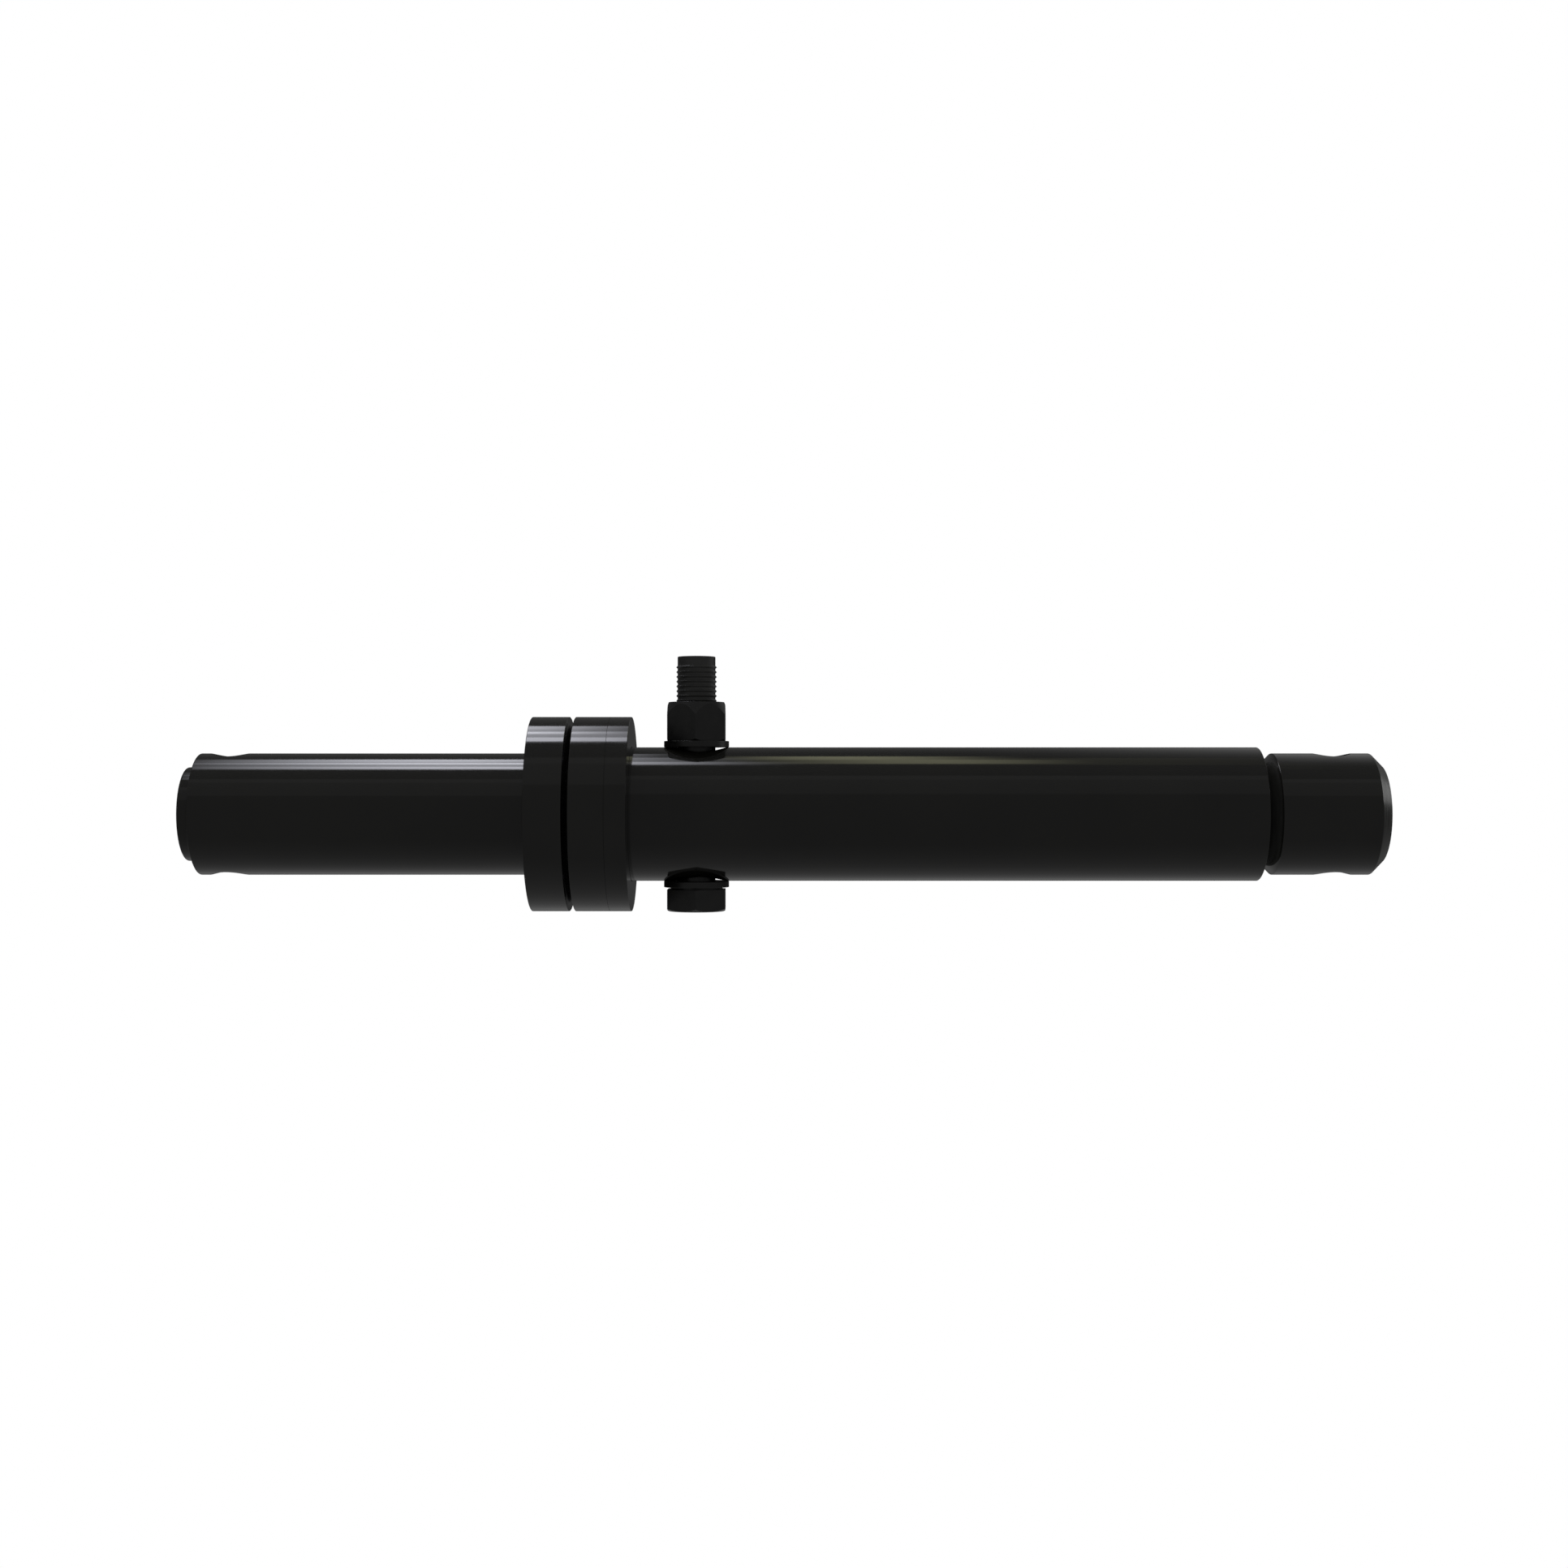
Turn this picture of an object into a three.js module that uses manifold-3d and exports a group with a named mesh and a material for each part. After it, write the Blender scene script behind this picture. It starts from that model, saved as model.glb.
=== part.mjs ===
// A single-acting telescoping hydraulic ram, closed almost to its stop.
//
// Millimetres, +Z up. The ram's axis is the X axis. The origin is the centre of the base pin
// eye, +X points out of the base end, and the plunger slides out towards -X. Both pin eyes
// and the cross bolt run along Z. The hose port is on the +Y side of the base plug.
//
// A slotted plunger tube slides in a thin barrel. Oil enters through the base plug and pushes
// the piston on the plunger's inner end. A bolt right across the barrel passes through two
// long slots in the plunger: it stops the stroke at both ends and keeps the eyes in line.
// Its wide clearance holes let the dry side of the barrel breathe.

import * as THREE from 'three';
import { mergeVertices } from 'three/addons/utils/BufferGeometryUtils.js';
import Module from 'manifold-3d';

const wasm = await Module();
wasm.setup();

// ---- driving dimensions ------------------------------------------------------------------

const CLEARANCE = 0.3;              // between neighbouring solids
const FACE_GAP = 0.1;               // between flat faces that bear on each other

const BARREL_RADIUS = 69.85 / 2;    // 2.75 in tube
const PLUNGER_RADIUS = 63.5 / 2;    // 2.5 in tube
const FLANGE_RADIUS = 101.6 / 2;    // 4 in discs
const BARREL_BORE = PLUNGER_RADIUS + 0.4;
const PLUNGER_BORE = 24.8;

const PIN_CENTRES = 576;            // base eye to plunger eye
const PIN_EYE_RADIUS = 9.7;         // for a 19 mm pin

const BASE_END = 25.2;
const BASE_CHAMFER = 6.2;
const GROOVE_LIP = -31.5;           // the weld groove's edge on the base plug
const GROOVE_DEPTH = 7.7;
const BARREL_END = GROOVE_LIP - GROOVE_DEPTH;
const SPIGOT_END = -66;             // the base plug's inner face

const FLANGE_SEAM = -376.8;         // the joint between the two barrel flanges
const BARREL_FLANGE = 11;
const GLAND_FLANGE = 18.2;
const STOP_FLANGE = 19.4;
const REST_GAP = 3.2;               // between the stop flange and the gland flange
const BUSH_LENGTH = 12;
const WIPER_DEPTH = 4.2;
const WIPER_OUTER = 36;
const GLAND_FACE = FLANGE_SEAM - GLAND_FLANGE;
const STOP_FACE = GLAND_FACE - REST_GAP;

const EYE_END = -591;               // the full diameter's outer end
const EYE_LENGTH = 43;
const DISC_END = -598;              // the smaller disc beyond it
const SPIGOT_RADIUS = PLUNGER_BORE - CLEARANCE;
const EYE_SPIGOT = 8;

const BOLT_X = -332.1;
const BOLT_RADIUS = 9.9;            // M20
const BOLT_HOLE_X = -329.4;
const BOLT_HOLE_RADIUS = 12.7;
const BOLT_TIP = 82.3;
const BOLT_TIP_LAND = 5.1;
const THREAD_PITCH = 2.5;
const THREAD_RADIUS = 10.6;
const THREAD_TURNS = 16;
const HEX_FLATS = 30;
const HEX_CORNER = HEX_FLATS / Math.sqrt(3);
const HEAD_HEIGHT = 12.5;
const HEAD_FACE = 1.2;              // the round washer face under the head
const NUT_HEIGHT = 20.3;
const NUT_CROWN = 7;                // the coned top of the nut
const WASHER_RADIUS = 17;
const WASHER = 3.2;

const SLOT_CLEARANCE = 0.5;
const SLOT_WIDTH = 2 * (BOLT_RADIUS + SLOT_CLEARANCE);
const RETRACTION = 2.9;             // travel left at rest before the stop flange closes
const EXTENSION = 163;              // travel from rest to the slots' far ends

const PISTON_FACE = -78;            // the pressed face
const PISTON_SHOULDER = -120;       // the face that bears on the plunger tube
const PISTON_SPIGOT_END = -150;
const PISTON_RADIUS = 31.5;
const WEAR_RADIUS = PLUNGER_RADIUS + 0.1;
const WEAR_RING_SPLIT = 1.5;

const FLANGE_SCREWS = 6;
const SCREW_CIRCLE = 43;
const SCREW_RADIUS = 3;             // M6
const SCREW_HEAD_RADIUS = 5;
const SCREW_HEAD = 6;
const SCREW_SHANK = 19;
const SCREW_SOCKET_FLATS = 5;
const SCREW_SOCKET_DEPTH = 3;
const SCREW_RECESS = 0.4;           // how far a head lies below the gland flange's face
const TAP_FLOOR = 1.5;              // metal left under a tapped hole

const PORT_X = -19.5;
const PORT_FLOOR = 29.5;            // the spot face for the port's seal
const PORT_SPOT_RADIUS = 10.9;
const PORT_THREAD_RADIUS = 7;
const PORT_THREAD_DEPTH = 15;
const OILWAY_RADIUS = 4;
const PORT_SEAL = 1.7;              // the seal washer's thickness and its gap
const FITTING_BORE = 1.9;
const FITTING_FLATS = 17.5;
const FITTING_HEX = 9;
const FITTING_NOSE = 14;            // from the hexagon to the tip
const FITTING_FLARE = 3;            // the coned tip

const ROUND = 36;                   // facets round a large diameter
const FINE = 20;                    // facets round a small one

// ---- materials ---------------------------------------------------------------------------

const finish = (color, roughness, metalness) =>
  new THREE.MeshStandardMaterial({ color, roughness, metalness });

const paint = finish(0x1b1b1a, 0.35, 0.0);
const blackSteel = finish(0x161616, 0.4, 0.6);
const bareSteel = finish(0x8a8a88, 0.35, 0.9);
const bronze = finish(0xa8814a, 0.4, 0.9);
const rubber = finish(0x101010, 0.8, 0.0);
const urethane = finish(0x23406b, 0.6, 0.0);
const bearingResin = finish(0x5a3a24, 0.7, 0.0);

// ---- shaping helpers ---------------------------------------------------------------------

const X = new THREE.Vector3(1, 0, 0);
const Y = new THREE.Vector3(0, 1, 0);
const Z = new THREE.Vector3(0, 0, 1);

// A solid of revolution. The outline is a list of [distance along the axis, radius], in
// clockwise order when the distance grows to the right and the radius grows upwards.
function turned(outline, axis, sides = ROUND) {
  const points = outline.map(([along, radius]) => new THREE.Vector2(radius, along));
  const turn = new THREE.Quaternion().setFromUnitVectors(Y, axis);
  return new THREE.LatheGeometry(points, sides).applyQuaternion(turn);
}

// A hollow ring of revolution with a rectangular section.
function ring(inner, outer, start, end, axis, sides = ROUND) {
  const outline = [[start, inner], [start, outer], [end, outer], [end, inner], [start, inner]];
  return turned(outline, axis, sides);
}

// A round or polygonal bar between two points on a line along one axis.
function bar(radius, axis, start, end, at = [0, 0, 0], sides = FINE) {
  const turn = new THREE.Quaternion().setFromUnitVectors(Y, axis);
  const centre = axis.clone().multiplyScalar((start + end) / 2);
  return new THREE.CylinderGeometry(radius, radius, end - start, sides)
    .applyQuaternion(turn)
    .translate(centre.x + at[0], centre.y + at[1], centre.z + at[2]);
}

const hexagon = (flats, axis, start, end, at) =>
  bar(flats / Math.sqrt(3), axis, start, end, at, 6);

// A three.js geometry as a manifold solid.
function solid(geometry) {
  const bare = geometry.clone();
  bare.deleteAttribute('normal');
  bare.deleteAttribute('uv');
  const merged = mergeVertices(bare);
  const corners = [];
  for (let i = 0; i < merged.index.count; i += 3) {
    const [a, b, c] = [0, 1, 2].map((k) => merged.index.getX(i + k));
    if (a !== b && b !== c && c !== a) corners.push(a, b, c);
  }
  return new wasm.Manifold(new wasm.Mesh({
    numProp: 3,
    vertProperties: new Float32Array(merged.attributes.position.array),
    triVerts: new Uint32Array(corners),
  }));
}

function geometryOf(body) {
  const { vertProperties, triVerts, numProp } = body.getMesh();
  const geometry = new THREE.BufferGeometry();
  geometry.setAttribute('position', new THREE.BufferAttribute(vertProperties, numProp));
  geometry.setIndex(new THREE.BufferAttribute(triVerts, 1));
  geometry.computeVertexNormals();
  return geometry;
}

const cut = (blank, ...tools) =>
  geometryOf(tools.reduce((body, tool) => body.subtract(solid(tool)), solid(blank)));

const join = (...blanks) =>
  geometryOf(blanks.map(solid).reduce((body, blank) => body.add(blank)));

const common = (blank, envelope) => geometryOf(solid(blank).intersect(solid(envelope)));

// ---- the barrel and what is fixed to it --------------------------------------------------

const crossDrill = (radius, x) => bar(radius, Z, -FLANGE_RADIUS, FLANGE_RADIUS, [x, 0, 0]);

function barrelTube() {
  const start = FLANGE_SEAM + CLEARANCE;
  const tube = ring(BARREL_BORE, BARREL_RADIUS, start, BARREL_END, X);
  return cut(tube, crossDrill(BOLT_HOLE_RADIUS, BOLT_HOLE_X));
}

// The screws' places: [y, z] round the flange, one of them at the top.
const screwPlaces = Array.from({ length: FLANGE_SCREWS }, (_, i) => {
  const angle = Math.PI / 2 + (i * 2 * Math.PI) / FLANGE_SCREWS;
  return [SCREW_CIRCLE * Math.cos(angle), SCREW_CIRCLE * Math.sin(angle)];
});

function barrelFlange() {
  const bore = BARREL_RADIUS + CLEARANCE;
  const disc = ring(bore, FLANGE_RADIUS, FLANGE_SEAM, FLANGE_SEAM + BARREL_FLANGE, X);
  const depth = BARREL_FLANGE - TAP_FLOOR;
  const taps = screwPlaces.map(([y, z]) =>
    bar(SCREW_RADIUS + CLEARANCE, X, FLANGE_SEAM - 1, FLANGE_SEAM + depth, [0, y, z]));
  return cut(disc, ...taps);
}

const BUSH_RADIUS = BARREL_RADIUS + FACE_GAP;
const BUSH_SEAT = FLANGE_SEAM - BUSH_LENGTH;
const WIPER_SEAT = GLAND_FACE + WIPER_DEPTH;

function glandFlange() {
  const end = FLANGE_SEAM - FACE_GAP;
  const throat = PLUNGER_RADIUS + 0.5;
  const outline = [
    [GLAND_FACE, FLANGE_RADIUS], [end, FLANGE_RADIUS], [end, BUSH_RADIUS + CLEARANCE],
    [BUSH_SEAT, BUSH_RADIUS + CLEARANCE], [BUSH_SEAT, throat], [WIPER_SEAT, throat],
    [WIPER_SEAT, WIPER_OUTER + CLEARANCE], [GLAND_FACE, WIPER_OUTER + CLEARANCE],
    [GLAND_FACE, FLANGE_RADIUS],
  ];
  const recess = GLAND_FACE + SCREW_RECESS + SCREW_HEAD + FACE_GAP;
  const holes = screwPlaces.flatMap(([y, z]) => [
    bar(SCREW_RADIUS + 0.4, X, GLAND_FACE - 1, end + 1, [0, y, z]),
    bar(SCREW_HEAD_RADIUS + 0.6, X, GLAND_FACE - 1, recess, [0, y, z]),
  ]);
  return cut(turned(outline, X), ...holes);
}

function guideBush() {
  const inner = PLUNGER_RADIUS + CLEARANCE;
  return ring(inner, BUSH_RADIUS, BUSH_SEAT + CLEARANCE, FLANGE_SEAM - CLEARANCE, X);
}

function wiperRing() {
  const inner = PLUNGER_RADIUS + CLEARANCE;
  const [face, back] = [GLAND_FACE + CLEARANCE, WIPER_SEAT - CLEARANCE];
  const outline = [
    [face, inner], [face, inner + 0.6], [face + 1, inner + 1.4], [face + 1, WIPER_OUTER],
    [back, WIPER_OUTER], [back, inner + 1.2], [face, inner],
  ];
  return turned(outline, X);
}

function flangeScrew([y, z]) {
  const seat = GLAND_FACE + SCREW_RECESS + SCREW_HEAD;
  const head = bar(SCREW_HEAD_RADIUS, X, seat - SCREW_HEAD, seat, [0, y, z]);
  const shank = bar(SCREW_RADIUS, X, seat - 1, seat + SCREW_SHANK, [0, y, z]);
  const top = seat - SCREW_HEAD;
  const socket = hexagon(SCREW_SOCKET_FLATS, X, top - 1, top + SCREW_SOCKET_DEPTH, [0, y, z]);
  return geometryOf(solid(head).add(solid(shank)).subtract(solid(socket)));
}

// The base plug: a spigot inside the barrel, a weld groove, the pin eye and the oilway.
function basePlug() {
  const spigot = BARREL_BORE - CLEARANCE;
  const outline = [
    [SPIGOT_END, 0], [SPIGOT_END, spigot - 1], [SPIGOT_END + 1, spigot], [BARREL_END, spigot],
    [BARREL_END, PLUNGER_RADIUS - GROOVE_DEPTH], [GROOVE_LIP, PLUNGER_RADIUS],
    [BASE_END - BASE_CHAMFER, PLUNGER_RADIUS], [BASE_END, PLUNGER_RADIUS - BASE_CHAMFER],
    [BASE_END, 0],
  ];
  const threadFloor = PORT_FLOOR - PORT_THREAD_DEPTH;
  const at = [PORT_X, 0, 0];
  return cut(
    turned(outline, X),
    crossDrill(PIN_EYE_RADIUS, 0),
    bar(PORT_SPOT_RADIUS, Y, PORT_FLOOR, FLANGE_RADIUS, at),
    bar(PORT_THREAD_RADIUS + CLEARANCE, Y, threadFloor, FLANGE_RADIUS, at),
    bar(OILWAY_RADIUS, Y, 0, threadFloor + 1, at),
    bar(OILWAY_RADIUS, X, SPIGOT_END - 1, PORT_X + OILWAY_RADIUS),
  );
}

// ---- the cross bolt ----------------------------------------------------------------------

const WASHER_SEAT = BARREL_RADIUS + FACE_GAP / 2;
const CLAMP_FACE = WASHER_SEAT + WASHER + FACE_GAP / 2;
const boltPlace = [BOLT_X, 0, 0];

// Rings of a V thread that end at a given height, the crests one pitch apart.
function threadOutline(end) {
  return Array.from({ length: THREAD_TURNS }, (_, i) => {
    const root = end - (THREAD_TURNS - i) * THREAD_PITCH;
    return [[root, BOLT_RADIUS], [root + THREAD_PITCH / 2, THREAD_RADIUS]];
  }).flat();
}

function crossBolt() {
  const headBase = -CLAMP_FACE - HEAD_HEIGHT;
  const faceBase = -CLAMP_FACE - HEAD_FACE;
  const land = BOLT_TIP - BOLT_TIP_LAND;
  const shank = turned([
    [faceBase - 1, 0], [faceBase - 1, HEX_FLATS / 2], [-CLAMP_FACE, HEX_FLATS / 2],
    [-CLAMP_FACE, BOLT_RADIUS], ...threadOutline(land), [land, BOLT_RADIUS],
    [BOLT_TIP, BOLT_RADIUS], [BOLT_TIP, 0],
  ], Z, FINE).translate(...boltPlace);
  const rounded = turned([
    [headBase, 0], [headBase, HEX_FLATS / 2 - 0.5], [headBase + 1.6, HEX_CORNER + 0.1],
    [faceBase, HEX_CORNER + 0.1], [faceBase, 0],
  ], Z, ROUND).translate(...boltPlace);
  return join(common(hexagon(HEX_FLATS, Z, headBase, faceBase, boltPlace), rounded), shank);
}

// An all-metal lock nut: its crown is turned to a cone that cuts the corners back.
function lockNut() {
  const [base, top] = [CLAMP_FACE, CLAMP_FACE + NUT_HEIGHT];
  const envelope = turned([
    [base, 0], [base, HEX_CORNER - 1.6], [base + 1, HEX_CORNER + 0.1],
    [top - NUT_CROWN, HEX_CORNER + 0.1], [top, HEX_FLATS / 2 - 0.5], [top, 0],
  ], Z, ROUND).translate(...boltPlace);
  const blank = common(hexagon(HEX_FLATS, Z, base, top, boltPlace), envelope);
  return cut(blank, bar(THREAD_RADIUS + CLEARANCE, Z, base - 1, top + 1, boltPlace));
}

function washer(side) {
  const [near, far] = [WASHER_SEAT, WASHER_SEAT + WASHER].map((height) => side * height);
  const [low, high] = [Math.min(near, far), Math.max(near, far)];
  const hole = THREAD_RADIUS + CLEARANCE;
  return ring(hole, WASHER_RADIUS, low, high, Z, ROUND).translate(...boltPlace);
}

// ---- the hose port -----------------------------------------------------------------------

function portFitting() {
  const start = PORT_FLOOR - PORT_THREAD_DEPTH + 1;
  const shoulder = PORT_FLOOR + PORT_SEAL + FACE_GAP;
  const hexTop = shoulder + FITTING_HEX;
  const nose = hexTop + FITTING_NOSE;
  const body = turned([
    [start, 0], [start, PORT_THREAD_RADIUS], [nose - FITTING_FLARE, PORT_THREAD_RADIUS],
    [nose, FITTING_BORE + 2.6], [nose, 0],
  ], Y, FINE).translate(PORT_X, 0, 0);
  const hex = hexagon(FITTING_FLATS, Y, shoulder, hexTop, [PORT_X, 0, 0]);
  const bore = bar(FITTING_BORE, Y, 0, nose + 1, [PORT_X, 0, 0]);
  return geometryOf(solid(body).add(solid(hex)).subtract(solid(bore)));
}

function portSealWasher() {
  const inner = PORT_THREAD_RADIUS + CLEARANCE;
  const [low, high] = [PORT_FLOOR + FACE_GAP, PORT_FLOOR + PORT_SEAL];
  return ring(inner, PORT_SPOT_RADIUS - 0.6, low, high, Y, FINE).translate(PORT_X, 0, 0);
}

// ---- the plunger and what slides with it -------------------------------------------------

const LOCK_SCREW_X = -131;
const LOCK_SCREW_RADIUS = 4;        // M8
const LOCK_SCREW_FLOOR = 17;
const LOCK_SOCKET_FLATS = 4;
const LOCK_SOCKET_DEPTH = 4;

// A bar from the lock screw's axis towards one side of the tube, side being 1 or -1.
const lockBar = (radius, side, inner, outer, sides) =>
  bar(radius, Y, ...[side * inner, side * outer].sort((a, b) => a - b), [LOCK_SCREW_X, 0, 0], sides);

const lockDrill = (side) =>
  lockBar(LOCK_SCREW_RADIUS + CLEARANCE, side, LOCK_SCREW_FLOOR, FLANGE_RADIUS);

// The cutter for both slots: one long round-ended bar right across the tube.
function slotCutter() {
  const half = SLOT_WIDTH / 2;
  const start = BOLT_X - RETRACTION;
  const end = BOLT_X + EXTENSION;
  const shape = new THREE.Shape();
  shape.absarc(end, 0, half, -Math.PI / 2, Math.PI / 2);
  shape.absarc(start, 0, half, Math.PI / 2, (3 * Math.PI) / 2);
  const options = { depth: 2 * FLANGE_RADIUS, bevelEnabled: false, curveSegments: FINE / 3 };
  return new THREE.ExtrudeGeometry(shape, options).translate(0, 0, -FLANGE_RADIUS);
}

function plungerTube() {
  const [start, end] = [EYE_END + EYE_LENGTH + CLEARANCE, PISTON_SHOULDER - CLEARANCE];
  const tube = ring(PLUNGER_BORE, PLUNGER_RADIUS, start, end, X);
  return cut(tube, slotCutter(), lockDrill(1), lockDrill(-1));
}

// The solid end of the plunger, welded to the tube and ground flush.
function rodEye() {
  const shoulder = EYE_END + EYE_LENGTH;
  const end = shoulder + EYE_SPIGOT;
  const outline = [
    [DISC_END, 0], [DISC_END, SPIGOT_RADIUS], [EYE_END, SPIGOT_RADIUS],
    [EYE_END, PLUNGER_RADIUS], [shoulder, PLUNGER_RADIUS], [shoulder, SPIGOT_RADIUS],
    [end - 1, SPIGOT_RADIUS], [end, SPIGOT_RADIUS - 1], [end, 0],
  ];
  return cut(turned(outline, X), crossDrill(PIN_EYE_RADIUS, -PIN_CENTRES));
}

const stopFlange = () =>
  ring(PLUNGER_RADIUS + CLEARANCE, FLANGE_RADIUS, STOP_FACE - STOP_FLANGE, STOP_FACE, X);

// Grooves in the piston: [start, end, floor radius].
const WEAR_GROOVES = [[-117, -107, 29.4], [-91, -81, 29.4]];
const SEAL_GROOVE = [-103, -95, 26];
const O_RING_GROOVE = [-143.5, -140.1, 22.2];

const grooveOutline = ([start, end, floor], outer) =>
  [[start, outer], [start, floor], [end, floor], [end, outer]];

function piston() {
  const spigot = SPIGOT_RADIUS;
  const outline = [
    [PISTON_SPIGOT_END, 0], [PISTON_SPIGOT_END, spigot - 1], [PISTON_SPIGOT_END + 1, spigot],
    ...grooveOutline(O_RING_GROOVE, spigot),
    [PISTON_SHOULDER, spigot], [PISTON_SHOULDER, PISTON_RADIUS],
    ...grooveOutline(WEAR_GROOVES[0], PISTON_RADIUS),
    ...grooveOutline(SEAL_GROOVE, PISTON_RADIUS),
    ...grooveOutline(WEAR_GROOVES[1], PISTON_RADIUS),
    [PISTON_FACE - 1.5, PISTON_RADIUS], [PISTON_FACE, PISTON_RADIUS - 1.5], [PISTON_FACE, 0],
  ];
  return cut(turned(outline, X), lockDrill(1), lockDrill(-1));
}

// A U-cup: its open side faces the oil.
function pistonSeal() {
  const [start, end, floor] = SEAL_GROOVE;
  const inner = floor + CLEARANCE;
  const middle = (inner + WEAR_RADIUS) / 2;
  const [back, lip] = [start + CLEARANCE, end - CLEARANCE];
  const outline = [
    [back, inner], [back, WEAR_RADIUS], [lip, WEAR_RADIUS], [lip - 1, middle + 1.4],
    [lip - 4, middle], [lip - 1, middle - 1.4], [lip, inner], [back, inner],
  ];
  return turned(outline, X);
}

// A split wear ring, its gap sawn at the top.
function wearRing([start, end, floor]) {
  const band = ring(floor + CLEARANCE, WEAR_RADIUS, start + CLEARANCE, end - CLEARANCE, X);
  const saw = new THREE.BoxGeometry(2 * (end - start), WEAR_RING_SPLIT, PISTON_RADIUS)
    .translate((start + end) / 2, 0, PISTON_RADIUS);
  return cut(band, saw);
}

function pistonORing() {
  const [start, end, floor] = O_RING_GROOVE;
  const radius = 1;
  const centre = floor + CLEARANCE + radius;
  const sides = 8;
  const section = Array.from({ length: sides + 1 }, (_, i) => {
    const angle = (-i * 2 * Math.PI) / sides;
    return [(start + end) / 2 + radius * Math.cos(angle), centre + radius * Math.sin(angle)];
  });
  return turned(section, X);
}

function lockScrew(side) {
  const [inner, outer] = [LOCK_SCREW_FLOOR + CLEARANCE, PLUNGER_RADIUS - 0.6];
  const corner = LOCK_SOCKET_FLATS / Math.sqrt(3);
  return cut(
    lockBar(LOCK_SCREW_RADIUS, side, inner, outer),
    lockBar(corner, side, outer - LOCK_SOCKET_DEPTH, outer + 1, 6),
  );
}

// ---- the assembly ------------------------------------------------------------------------

function place(group, name, geometry, material) {
  const mesh = new THREE.Mesh(geometry, material);
  mesh.name = name;
  group.add(mesh);
}

const barrel = new THREE.Group();
place(barrel, 'barrel_tube', barrelTube(), paint);
place(barrel, 'barrel_flange', barrelFlange(), paint);
place(barrel, 'gland_flange', glandFlange(), paint);
place(barrel, 'guide_bush', guideBush(), bronze);
place(barrel, 'wiper_ring', wiperRing(), urethane);
screwPlaces.forEach((at, i) => {
  place(barrel, `flange_screw_${i + 1}`, flangeScrew(at), blackSteel);
});
place(barrel, 'base_plug', basePlug(), paint);
place(barrel, 'cross_bolt', crossBolt(), blackSteel);
place(barrel, 'lock_nut', lockNut(), blackSteel);
place(barrel, 'upper_washer', washer(1), blackSteel);
place(barrel, 'lower_washer', washer(-1), blackSteel);
place(barrel, 'port_fitting', portFitting(), bareSteel);
place(barrel, 'port_seal_washer', portSealWasher(), rubber);

const plunger = new THREE.Group();
place(plunger, 'plunger_tube', plungerTube(), paint);
place(plunger, 'stop_flange', stopFlange(), paint);
place(plunger, 'rod_eye', rodEye(), paint);
place(plunger, 'piston', piston(), bareSteel);
place(plunger, 'piston_seal', pistonSeal(), urethane);
WEAR_GROOVES.forEach((groove, i) => {
  place(plunger, `piston_wear_ring_${i + 1}`, wearRing(groove), bearingResin);
});
place(plunger, 'piston_o_ring', pistonORing(), rubber);
place(plunger, 'piston_lock_screw_1', lockScrew(1), blackSteel);
place(plunger, 'piston_lock_screw_2', lockScrew(-1), blackSteel);

const ram = new THREE.Group();
ram.add(barrel, plunger);

export default ram;
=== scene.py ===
"""The finished look of a telescoping hydraulic ram, closed almost to its stop.

The frame is the part's own: the ram lies along X with its base pin eye at the origin and its
plunger towards -X, and both pin eyes and the cross bolt stand along Z. Lengths are millimetres
until a mesh is made, which is in metres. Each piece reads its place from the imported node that
it stands for and adds what is finer than that node: true rounds, broken edges and threads.
"""

import math

import bmesh
import bpy
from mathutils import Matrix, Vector


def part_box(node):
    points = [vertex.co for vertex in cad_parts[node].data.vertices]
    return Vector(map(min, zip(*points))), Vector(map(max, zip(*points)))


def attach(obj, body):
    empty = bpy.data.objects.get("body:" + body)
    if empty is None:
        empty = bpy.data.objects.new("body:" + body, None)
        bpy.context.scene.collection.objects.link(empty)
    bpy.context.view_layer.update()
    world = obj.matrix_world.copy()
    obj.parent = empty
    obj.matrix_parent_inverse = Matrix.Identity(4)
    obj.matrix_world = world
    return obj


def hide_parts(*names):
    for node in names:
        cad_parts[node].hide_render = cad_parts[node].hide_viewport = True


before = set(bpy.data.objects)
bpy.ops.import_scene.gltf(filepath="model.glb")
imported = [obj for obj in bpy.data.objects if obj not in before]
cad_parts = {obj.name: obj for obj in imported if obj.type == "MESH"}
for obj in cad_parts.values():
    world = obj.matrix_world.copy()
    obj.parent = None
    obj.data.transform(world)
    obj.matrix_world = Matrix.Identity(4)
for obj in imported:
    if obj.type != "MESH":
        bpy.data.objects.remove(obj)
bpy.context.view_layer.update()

# ---- fineness of the meshes ----

MM = 0.001
TINY = 1e-6
SIDES = 256  # facets round a large diameter
BOLT_SIDES = 192  # facets round the cross bolt, its nut and its washers
FINE_SIDES = 96  # facets round a small diameter
CORNER_STEPS = 4  # steps along a rounded corner
CORNER_SHARE = 0.45  # how much of each side a rounded corner may take up
STRAIGHT = math.radians(88)  # half a corner's angle, from which it counts as straight
RING_STEP = 14.0  # longest stretch of a tube between two rings
PATH_STEPS = 48  # points round half a cutter's outline
O_RING_STEPS = 24  # points round the O-ring's section
MOUTH_SWEEP = math.radians(78)  # how far round the broken edge of a crossing hole goes
CUTTER_RISE = 6.0  # how far a crossing cutter stands above the tube
OVERCUT = 1.0  # how far any other cutter starts outside what it cuts
OVERLAP = 1.0  # how far a joined shank reaches into its head
SHARP_ANGLE = math.radians(32)
NUT_SHARP_ANGLE = math.radians(12)

# How far corners are rounded: most by EDGE, and wider or finer ones by the others.
EDGE = 0.35
WIDE_EDGE = 0.5
SOFT_EDGE = 0.3
SMALL_EDGE = 0.2
FINE_EDGE = 0.1
ROOT_EDGE = 0.08
SEAM_EDGE = 0.06
PIN_EYE_EDGE = 0.6
WEAR_EDGE = 0.25

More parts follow.
